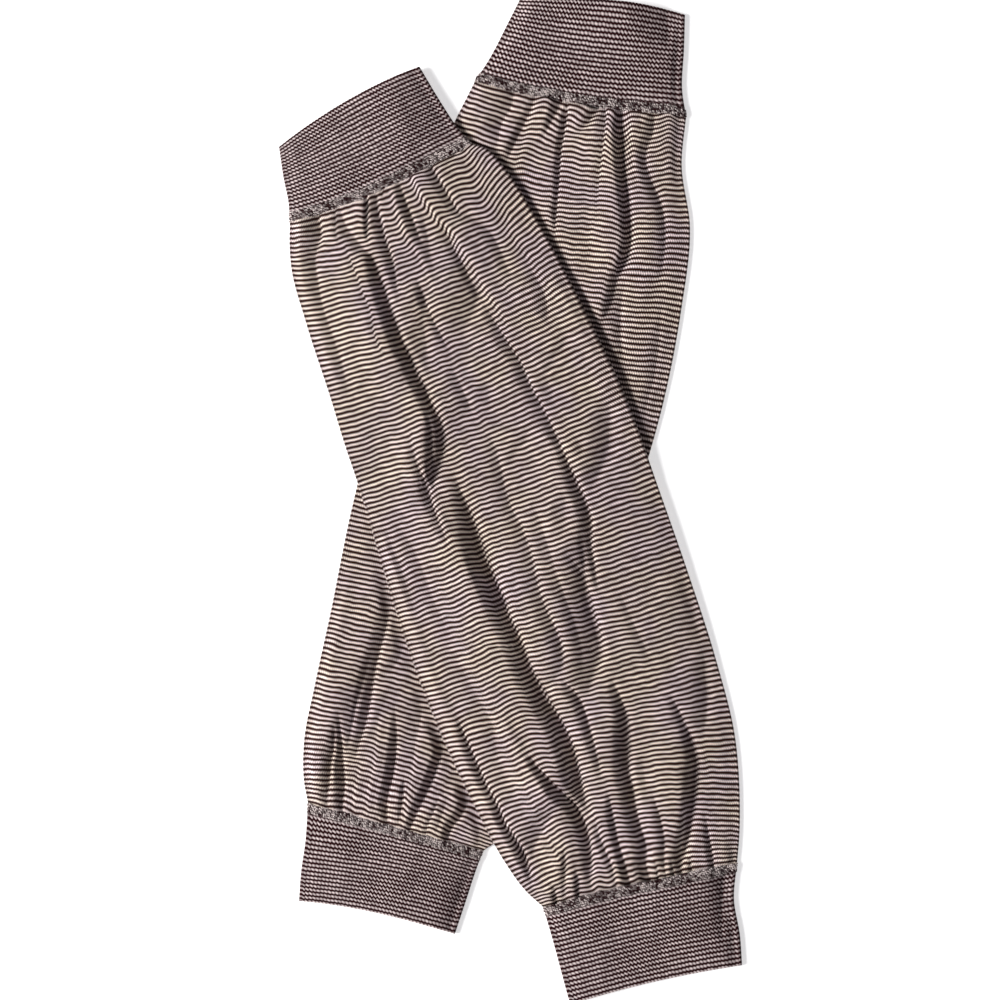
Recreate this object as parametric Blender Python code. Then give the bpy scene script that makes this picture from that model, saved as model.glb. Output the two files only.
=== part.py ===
# Pair of knitted arm sleeves laid flat, the front one crossing over the back one.
#
# Each sleeve is three flattened tubes of cloth: a fine knitted body, wider than its ends,
# and a ribbed cuff at either end. Every tube is open at both ends and hollow between its
# two panels. Lengths in the tables are millimetres, seen from above: +X to the right,
# +Y towards the upper cuffs, +Z up from the surface the pair lies on.

import math
from collections import namedtuple

import bmesh
import bpy
import numpy as np

MM = 0.001

# Cloth
KNIT_WALL = 1.0        # one layer of the body knit
RIB_WALL = 1.3         # one layer of the cuff rib
HOLLOW = 0.6           # air between two panels that lie flat
GREATEST_HOLLOW = 3.6  # air between them under the highest fold
SEAM_GAP = 0.3         # clearance between a cuff and its body
TOUCH_GAP = 0.3        # clearance between the front sleeve and the back one

# Lie of the cloth
BODY_PUFF = 1.9        # rise of a body's upper panel between its side folds
CUFF_PUFF = 0.5        # the same for a cuff
PUFF_REACH = 24.0      # distance from a side fold over which the panel rises
TENT_FLAT = 7.0        # the front sleeve stays lifted this far beyond the back one
TENT_SLOPE = 16.0      # and comes down to the surface over this distance
PRESS_CLEAR = 3.0      # the back sleeve is pressed flat this far beyond the front one
PRESS_SLOPE = 16.0     # and swells again over this distance
FOLD_SOFT_END = 0.22   # share of a fold's length over which it fades in and out
FOLD_END_START = 0.15  # how far that fade has come where a fold begins and ends
FOLD_LIP = 0.55        # height of the lips beside a fold, as a share of its depth
FOLD_ROUND = 0.6       # spread of a fold's trough and lips, as a share of its width

# Facets
BODY_ROWS = 32
BODY_COLUMNS = 21
CUFF_ROWS = 4
CUFF_COLUMNS = 9
SIDE_ANGLES = (135.0, 180.0, 225.0)  # points round a side fold, degrees
OUTLINE_COURSES = 25   # courses of each tube that its sleeve's outline passes through
FOLD_POINTS = 17       # points along a fold's curve

# A section is one knitted course: where it meets the two side folds, and the course's
# direction there in degrees from +X. along runs from 0 at a tube's upper end to 100.
Section = namedtuple("Section", "along left_x left_y left_turn right_x right_y right_turn")

FRONT_UPPER_SEAM = (-114.7, 144.8, 13, -20.4, 185.4, 30)
FRONT_LOWER_SEAM = (16.9, -211.2, 17, 117.8, -188.4, 11)
BACK_UPPER_SEAM = (-18.5, 218.1, -18, 91.3, 199.4, -6)
BACK_LOWER_SEAM = (-105.3, -157.3, -14, -14.3, -182.3, -16)

FRONT_BODY = (
    Section(0, *FRONT_UPPER_SEAM),
    Section(3, -114.9, 133.4, 7, -11.5, 182.0, 38),
    Section(6, -114.1, 121.9, 3, -3.1, 172.7, 42),
    Section(14, -106.3, 92.3, 12, 14.0, 145.3, 38),
    Section(25, -93.3, 52.3, 14, 35.0, 105.8, 27),
    Section(31, -86.6, 30.3, 16.5, 44.6, 83.2, 25),
    Section(37, -79.3, 8.6, 18, 55.6, 60.9, 23),
    Section(44, -71.6, -16.6, 19, 67.3, 33.9, 21),
    Section(50, -65.3, -38.2, 20, 75.4, 10.7, 19),
    Section(62, -51.4, -81.9, 20, 91.8, -36.1, 18),
    Section(74, -35.0, -124.0, 22, 106.9, -82.9, 13),
    Section(84, -18.0, -160.0, 26, 116.7, -122.5, 6),
    Section(92, -3.1, -187.7, 34, 119.2, -155.2, -2),
    Section(97, 8.1, -203.1, 32, 118.9, -175.5, -2),
    Section(100, *FRONT_LOWER_SEAM),
)

FRONT_UPPER_CUFF = (
    Section(0, -120.4, 183.8, 38, -47.3, 225.4, 20),
    Section(40, -118.0, 167.7, 22, -36.1, 206.7, 27),
    Section(75, -115.4, 154.7, 16, -27.3, 193.4, 27),
    Section(100, *FRONT_UPPER_SEAM),
)

FRONT_LOWER_CUFF = (
    Section(0, *FRONT_LOWER_SEAM),
    Section(35, 22.1, -229.1, 16, 116.2, -207.2, 9),
    Section(70, 26.8, -246.7, 15, 119.3, -225.9, 8),
    Section(100, 30.9, -261.8, 17, 120.4, -241.5, 8),
)

BACK_BODY = (
    Section(0, *BACK_UPPER_SEAM),
    Section(6, -31.3, 192.0, -22, 89.0, 175.0, 4),
    Section(14, -43.0, 160.0, -18, 93.3, 142.7, 2),
    Section(25, -54.3, 122.5, -15, 88.7, 98.5, -4),
    Section(37, -64.3, 78.0, -14, 79.5, 51.0, -9),
    Section(50, -74.3, 31.0, -13, 64.9, 0.6, -15),
    Section(62, -84.5, -12.7, -12, 48.9, -45.1, -19),
    Section(74, -93.6, -58.2, -11, 32.0, -90.6, -20),
    Section(84, -101.9, -96.3, -11, 17.8, -128.4, -22),
    Section(92, -107.5, -126.6, -4, 3.9, -157.7, -24),
    Section(97, -107.4, -146.1, 2, -5.3, -175.6, -20),
    Section(100, *BACK_LOWER_SEAM),
)

BACK_UPPER_CUFF = (
    Section(0, 5.5, 261.8, -2, 90.7, 252.4, -18),
    Section(35, -1.8, 247.3, -14, 90.2, 234.3, -6),
    Section(70, -10.7, 230.1, -18, 89.2, 214.5, -5),
    Section(100, *BACK_UPPER_SEAM),
)

BACK_LOWER_CUFF = (
    Section(0, *BACK_LOWER_SEAM),
    Section(35, -106.6, -176.5, -8, -19.0, -195.3, -18),
    Section(70, -108.9, -193.2, -6, -23.7, -209.8, -18),
    Section(100, -110.0, -208.2, -4, -28.9, -225.3, -17),
)

# A fold is a trough in the upper panel between two lips, along a curve through three
# places. width is the distance from the bottom of the trough to the top of a lip.
Fold = namedtuple("Fold", "start_x start_y middle_x middle_y end_x end_y width depth")

FRONT_FOLDS = (
    Fold(-100, 146, -103, 112, -86, 57, 7, 1.2),
    Fold(-82, 138, -60, 88, -40, 6, 8, 2.2),
    Fold(-55, 151, -47, 120, -35, 84, 7, 1.4),
    Fold(-42, 169, -24, 153, -5, 128, 8, 1.5),
    Fold(-31, 138, 2, 70, 43, -55, 9, 2.2),
    Fold(-29, 12, -2, -68, 36, -158, 9, 2.4),
    Fold(6, -134, 29, -156, 40, -194, 7, 1.8),
    Fold(52, -96, 60, -150, 69, -194, 8, 2.2),
    Fold(85, -102, 94, -140, 88, -184, 8, 1.6),
    Fold(-27, -122, -9, -158, 8, -196, 8, 2.0),
    Fold(-70, -12, -58, -36, -48, -60, 7, 1.0),
)

BACK_FOLDS = (
    Fold(7, 204, -1, 190, -7, 176, 6, 1.4),
    Fold(27, 208, 26, 172, 20, 134, 7, 1.4),
    Fold(57, 200, 62, 150, 50, 98, 8, 2.2),
    Fold(70, 198, 78, 150, 72, 106, 7, 1.8),
    Fold(76, 90, 74, 70, 70, 50, 7, 1.4),
    Fold(-63, -40, -73, -86, -80, -128, 8, 2.2),
    Fold(-39, -124, -44, -146, -51, -164, 7, 1.8),
    Fold(-24, -148, -28, -162, -35, -176, 6, 1.6),
    Fold(-62, -124, -65, -142, -66, -162, 6, 1.2),
)

# Colours are linear RGB: the stripes' average, and the darker cuffs.
KNIT_COLOUR = (0.235, 0.185, 0.178)
RIB_COLOUR = (0.120, 0.088, 0.086)
CLOTH_ROUGHNESS = 0.85


def cubic(start, end, start_pull, end_pull, u):
    """Point at u, from 0 to 1, on the cubic curve between two points with these tangents."""
    return ((2 * u**3 - 3 * u**2 + 1) * start + (u**3 - 2 * u**2 + u) * start_pull
            + (3 * u**2 - 2 * u**3) * end + (u**3 - u**2) * end_pull)


def smooth_step(value):
    """0 below 0, 1 above 1, and a soft ramp between."""
    value = np.clip(value, 0.0, 1.0)
    return value * value * (3.0 - 2.0 * value)


def section_at(sections, along):
    """The course at any place along a tube, on smooth curves through its sections."""
    places = np.array([section.along for section in sections], dtype=float)
    values = np.array([section[1:] for section in sections], dtype=float)
    slopes = np.gradient(values, places, axis=0)
    before = int(np.clip(np.searchsorted(places, along) - 1, 0, len(places) - 2))
    step = places[before + 1] - places[before]
    u = (along - places[before]) / step
    between = cubic(values[before], values[before + 1],
                    slopes[before] * step, slopes[before + 1] * step, u)
    return Section(along, *between)


def course_points(section, insets):
    """Plan points at these distances in from the left side fold, along one course."""
    left = np.array([section.left_x, section.left_y])
    right = np.array([section.right_x, section.right_y])
    width = np.linalg.norm(right - left)
    turns = np.radians([section.left_turn, section.right_turn])
    pulls = width * np.column_stack([np.cos(turns), np.sin(turns)])
    u = (insets / width)[:, None]
    return cubic(left, right, pulls[0], pulls[1], u)


def course_width(section):
    return math.hypot(section.right_x - section.left_x, section.right_y - section.left_y)


def sleeve_outline(*tubes):
    """Closed plan outline of a sleeve, down its left side folds and back up its right ones."""
    places = np.linspace(0, 100, OUTLINE_COURSES)
    courses = [section_at(tube, along) for tube in tubes for along in places]
    left = [(course.left_x, course.left_y) for course in courses]
    right = [(course.right_x, course.right_y) for course in courses]
    return np.array(left + right[::-1])


def distance_outside(points, outline):
    """Distance of plan points from a closed outline, negative inside it."""
    start = outline
    end = np.roll(outline, -1, axis=0)
    edge = end - start
    length_squared = np.maximum((edge**2).sum(axis=1), 1e-9)
    offset = points[:, None, :] - start[None, :, :]
    u = np.clip((offset * edge).sum(axis=2) / length_squared, 0, 1)
    nearest = np.linalg.norm(offset - u[..., None] * edge, axis=2).min(axis=1)
    crosses = (start[:, 1] > points[:, 1:]) != (end[:, 1] > points[:, 1:])
    rise = np.where(np.abs(edge[:, 1]) < 1e-9, 1e-9, edge[:, 1])
    crossing_x = start[:, 0] + (points[:, 1:] - start[:, 1]) * edge[:, 0] / rise
    inside = (crosses & (points[:, :1] < crossing_x)).sum(axis=1) % 2 == 1
    return np.where(inside, -nearest, nearest)


def fold_height(points, fold):
    """Rise of the cloth at plan points: below zero in the trough, above it on the lips."""
    start = np.array([fold.start_x, fold.start_y])
    middle = np.array([fold.middle_x, fold.middle_y])
    end = np.array([fold.end_x, fold.end_y])
    bend = 2 * middle - (start + end) / 2
    steps = np.linspace(0, 1, FOLD_POINTS)[:, None]
    path = (1 - steps)**2 * start + 2 * steps * (1 - steps) * bend + steps**2 * end
    distances = np.linalg.norm(points[:, None, :] - path[None, :, :], axis=2)
    distance = distances.min(axis=1)
    share = distances.argmin(axis=1) / (FOLD_POINTS - 1)
    fade = smooth_step(np.minimum(share, 1 - share) / FOLD_SOFT_END + FOLD_END_START)
    spread = FOLD_ROUND * fold.width
    trough = np.exp(-(distance / spread)**2)
    lips = np.exp(-((distance - fold.width) / spread)**2)
    return fold.depth * fade * (FOLD_LIP * lips - trough)


FRONT_OUTLINE = sleeve_outline(FRONT_UPPER_CUFF, FRONT_BODY, FRONT_LOWER_CUFF)
BACK_OUTLINE = sleeve_outline(BACK_UPPER_CUFF, BACK_BODY, BACK_LOWER_CUFF)
FLAT_BODY = 2 * KNIT_WALL + HOLLOW
FLAT_CUFF = 2 * RIB_WALL + HOLLOW


def front_lift(points):
    """Height of the front sleeve's underside: on the back sleeve, and tented down beside it."""
    beyond = distance_outside(points, BACK_OUTLINE)
    lifted = smooth_step(1 - (beyond - TENT_FLAT) / TENT_SLOPE)
    return (FLAT_BODY + TOUCH_GAP) * lifted


def back_lift(points):
    """The back sleeve's underside lies on the surface all over."""
    return np.zeros(len(points))


def front_freedom(points):
    """Nothing lies on the front sleeve, so it swells and folds freely."""
    return np.ones(len(points))


def back_freedom(points):
    """0 where the front sleeve presses the back one flat, 1 where it lies free."""
    return smooth_step((distance_outside(points, FRONT_OUTLINE) - PRESS_CLEAR) / PRESS_SLOPE)


def upper_rise(points, from_sides, puff, folds, freedom):
    """Rise of a tube's upper panel above its side folds: its puff and its folds."""
    swell = smooth_step(from_sides / PUFF_REACH)
    rise = puff * swell
    for fold in folds:
        rise = rise + swell * fold_height(points, fold)
    return np.clip(rise * freedom(points), 0, GREATEST_HOLLOW - HOLLOW)


def tube_rings(sections, depth, shape):
    """Rings of points round a tube, at a depth into its cloth from the outer surface."""
    middle = shape["wall"] + HOLLOW / 2
    radius = middle - depth
    angles = np.radians(SIDE_ANGLES)
    side_insets = middle + radius * np.cos(angles)
    side_heights = middle - radius * np.sin(angles)
    rings = []
    for row in range(shape["rows"] + 1):
        along = shape["first"] + (shape["last"] - shape["first"]) * row / shape["rows"]
        section = section_at(sections, along)
        width = course_width(section)
        upper = np.linspace(middle, width - middle, shape["columns"])
        lower = np.linspace(width - middle, middle, shape["underside_columns"])
        insets = np.concatenate([side_insets, upper, width - side_insets[::-1], lower])
        heights = np.concatenate([
            side_heights, np.full(len(upper), 2 * middle - depth),
            side_heights[::-1], np.full(len(lower), depth)])
        plan = course_points(section, insets)
        on_top = slice(len(SIDE_ANGLES), len(SIDE_ANGLES) + len(upper))
        from_sides = np.minimum(upper, width - upper) - middle
        heights[on_top] += upper_rise(
            plan[on_top], from_sides, shape["puff"], shape["folds"], shape["freedom"])
        heights += shape["lift"](plan)
        rings.append(np.column_stack([plan, heights]))
    return np.array(rings)


def make_tube(name, sections, shape, colour, collection):
    """A flattened tube of cloth: an outer and an inner skin, joined round its open ends."""
    outer = tube_rings(sections, 0.0, shape)
    inner = tube_rings(sections, shape["wall"], shape)
    cloth = bmesh.new()
    skins = [[[cloth.verts.new(point * MM) for point in ring] for ring in skin]
             for skin in (outer, inner)]
    outside, inside = skins
    strips = list(zip(outside, outside[1:])) + list(zip(inside[1:], inside))
    strips += [(inside[0], outside[0]), (outside[-1], inside[-1])]
    for ring, next_ring in strips:
        for k, corner in enumerate(ring):
            cloth.faces.new((ring[k - 1], next_ring[k - 1], next_ring[k], corner))
    mesh = bpy.data.meshes.new(name)
    cloth.to_mesh(mesh)
    cloth.free()
    mesh.shade_smooth()
    mesh.materials.append(cloth_material(name + "_cloth", colour))
    tube = bpy.data.objects.new(name, mesh)
    collection.objects.link(tube)
    return tube


def cloth_material(name, colour):
    material = bpy.data.materials.new(name)
    material.use_nodes = True
    surface = material.node_tree.nodes["Principled BSDF"]
    surface.inputs["Base Color"].default_value = (*colour, 1.0)
    surface.inputs["Roughness"].default_value = CLOTH_ROUGHNESS
    surface.inputs["Metallic"].default_value = 0.0
    return material


def body_shape(folds, lift, freedom, underside_columns):
    return {"wall": KNIT_WALL, "puff": BODY_PUFF, "folds": folds, "lift": lift,
            "freedom": freedom, "rows": BODY_ROWS, "columns": BODY_COLUMNS,
            "underside_columns": underside_columns, "first": 0.0, "last": 100.0}


def cuff_shape(sections, lift, freedom, upper_end):
    """A cuff stops short of its body by the seam's clearance."""
    ends = section_at(sections, 0), section_at(sections, 100)
    length = math.hypot(ends[1].left_x - ends[0].left_x, ends[1].left_y - ends[0].left_y)
    gap = 100 * SEAM_GAP / length
    first, last = (0.0, 100.0 - gap) if upper_end else (gap, 100.0)
    return {"wall": RIB_WALL, "puff": CUFF_PUFF, "folds": (), "lift": lift,
            "freedom": freedom, "rows": CUFF_ROWS, "columns": CUFF_COLUMNS,
            "underside_columns": CUFF_COLUMNS, "first": first, "last": last}


def make_front_sleeve(collection):
    free = front_lift, front_freedom
    make_tube("front_sleeve_body", FRONT_BODY,
              body_shape(FRONT_FOLDS, *free, underside_columns=12), KNIT_COLOUR, collection)
    make_tube("front_sleeve_upper_cuff", FRONT_UPPER_CUFF,
              cuff_shape(FRONT_UPPER_CUFF, *free, upper_end=True), RIB_COLOUR, collection)
    make_tube("front_sleeve_lower_cuff", FRONT_LOWER_CUFF,
              cuff_shape(FRONT_LOWER_CUFF, *free, upper_end=False), RIB_COLOUR, collection)


def make_back_sleeve(collection):
    pressed = back_lift, back_freedom
    make_tube("back_sleeve_body", BACK_BODY,
              body_shape(BACK_FOLDS, *pressed, underside_columns=9), KNIT_COLOUR, collection)
    make_tube("back_sleeve_upper_cuff", BACK_UPPER_CUFF,
              cuff_shape(BACK_UPPER_CUFF, *pressed, upper_end=True), RIB_COLOUR, collection)
    make_tube("back_sleeve_lower_cuff", BACK_LOWER_CUFF,
              cuff_shape(BACK_LOWER_CUFF, *pressed, upper_end=False), RIB_COLOUR, collection)


def main():
    for old in list(bpy.data.objects):
        bpy.data.objects.remove(old, do_unlink=True)
    collection = bpy.data.collections.new("arm_sleeves")
    bpy.context.scene.collection.children.link(collection)
    make_back_sleeve(collection)
    make_front_sleeve(collection)


main()
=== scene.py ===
# Pair of striped knit arm sleeves with ribbed cuffs, laid flat, one crossing over the other.
# Plan sizes are millimetres seen from above: +X right, +Y towards the upper cuffs.
import math
import bpy
import numpy as np
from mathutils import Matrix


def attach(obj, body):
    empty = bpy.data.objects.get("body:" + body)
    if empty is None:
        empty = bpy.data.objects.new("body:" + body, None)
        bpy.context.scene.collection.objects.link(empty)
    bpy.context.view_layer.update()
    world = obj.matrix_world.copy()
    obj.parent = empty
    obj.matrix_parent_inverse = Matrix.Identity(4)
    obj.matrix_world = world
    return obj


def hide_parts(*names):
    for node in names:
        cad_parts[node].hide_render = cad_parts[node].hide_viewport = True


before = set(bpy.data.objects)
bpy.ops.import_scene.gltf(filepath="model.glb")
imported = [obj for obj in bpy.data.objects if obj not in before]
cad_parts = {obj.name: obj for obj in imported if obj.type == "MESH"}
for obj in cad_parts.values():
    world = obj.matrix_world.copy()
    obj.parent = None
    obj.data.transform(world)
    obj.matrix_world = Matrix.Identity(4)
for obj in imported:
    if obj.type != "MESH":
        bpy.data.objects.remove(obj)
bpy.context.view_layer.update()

mm = 0.001

# ---- cloth and how it lies ----

cloth = {
    "bodyThick": 2.6,       # both layers of a body and the air between them
    "cuffThick": 3.2,
    "bodyWall": 0.8,        # one layer
    "cuffWall": 1.1,
    "bodyFold": 0.95,       # half the thickness at a side fold
    "cuffFold": 1.3,
    "foldArc": (100, 260),  # degrees that a side fold turns through, from panel to panel
    "foldOpens": 8.0,       # how far in the layers part to their full thickness
    "fadeNear": 5.0,        # the folds die out this near a side fold
    "touchGap": 0.3,        # between the front sleeve and the back one
    "puffReach": 24.0,      # how far in from a side fold the panel goes on rising
    "bodyPuff": 1.0,
    "cuffPuff": 0.5,
    "bodyDent": 0.45,       # the deepest that a fold sinks into a panel
    "cuffDent": 0.5,
    "creaseHigh": 0.55,     # the highest crease of an underside
    "creaseNear": 8.0,      # and how near a side fold it dies out
    "tentFlat": 4.0,        # the front sleeve stays up this far beside the back one
    "tentSlope": 92.0,
    "pressClear": 0.8,      # the back sleeve is flat this far beside the front one
    "pressSlope": 7.0,
    "stripes": 148,         # light and dark pairs from seam to seam
    "stripePitch": 2.7,
    "bodyWales": 145.0,     # across one face of a body, drawn one to a millimetre
    "ribRows": 21.5,        # knitted courses that show along a cuff
    "seamBand": 4.6,        # height of the linked seam, on the cuff side
}

# A course: how far along the tube (0 to 100), its left end x, y and turn, its right end.
frontUpperSeam = (-114.7, 144.8, 13, -20.4, 185.4, 30)
frontLowerSeam = (16.9, -211.2, 17, 117.8, -188.4, 11)
backUpperSeam = (-18.5, 218.1, -18, 91.3, 199.4, -6)
backLowerSeam = (-105.3, -157.3, -14, -14.3, -182.3, -16)

frontCourses = {
    "upperCuff": (
        (0, -120.4, 183.8, 38, -47.3, 225.4, 20),
        (40, -118.0, 167.7, 22, -36.1, 206.7, 27),
        (75, -115.4, 154.7, 16, -27.3, 193.4, 27),
        (100, *frontUpperSeam)),
    "body": (
        (0, *frontUpperSeam),
        (3, -114.9, 133.4, 7, -11.5, 182.0, 38),
        (6, -114.1, 121.9, 3, -3.1, 172.7, 42),
        (14, -106.3, 92.3, 12, 14.0, 145.3, 38),
        (25, -93.3, 52.3, 14, 35.0, 105.8, 27),
        (31, -86.6, 30.3, 16.5, 45.8, 84.0, 25),
        (37, -79.3, 8.6, 18, 56.5, 61.4, 23),
        (44, -71.6, -16.6, 19, 67.3, 33.9, 21),
        (50, -65.3, -38.2, 20, 75.4, 10.7, 19),
        (62, -51.4, -81.9, 20, 91.8, -36.1, 18),
        (74, -35.0, -124.0, 22, 106.9, -82.9, 13),
        (84, -18.0, -160.0, 26, 116.7, -122.5, 6),
        (92, -3.1, -187.7, 34, 119.2, -155.2, -2),
        (97, 8.1, -203.1, 32, 118.9, -175.5, -2),
        (100, *frontLowerSeam)),
    "lowerCuff": (
        (0, *frontLowerSeam),
        (35, 22.1, -229.1, 16, 116.2, -207.2, 9),
        (70, 26.8, -246.7, 15, 119.3, -225.9, 8),
        (100, 30.9, -261.8, 17, 120.4, -241.5, 8)),
}

backCourses = {
    "upperCuff": (
        (0, 5.5, 261.8, -2, 90.7, 252.4, -18),
        (35, -1.8, 247.3, -14, 90.2, 234.3, -6),
        (70, -10.7, 230.1, -18, 89.2, 214.5, -5),
        (100, *backUpperSeam)),
    "body": (
        (0, *backUpperSeam),
        (6, -31.3, 192.0, -22, 89.0, 175.0, 4),
        (14, -43.0, 160.0, -18, 93.3, 142.7, 2),
        (25, -54.3, 122.5, -15, 88.7, 98.5, -4),
        (37, -64.3, 78.0, -14, 79.5, 51.0, -9),
        (50, -74.3, 31.0, -13, 64.9, 0.6, -15),
        (62, -84.5, -12.7, -12, 48.9, -45.1, -19),
        (74, -93.6, -58.2, -11, 32.0, -90.6, -20),
        (84, -101.9, -96.3, -11, 17.8, -128.4, -22),
        (92, -107.5, -126.6, -4, 3.9, -157.7, -24),
        (97, -107.4, -146.1, 2, -5.3, -175.6, -20),
        (100, *backLowerSeam)),
    "lowerCuff": (
        (0, *backLowerSeam),
        (35, -106.6, -176.5, -8, -19.0, -195.3, -18),
        (70, -108.9, -193.2, -6, -23.7, -209.8, -18),
        (100, -110.0, -208.2, -4, -28.9, -225.3, -17)),
}

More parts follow.
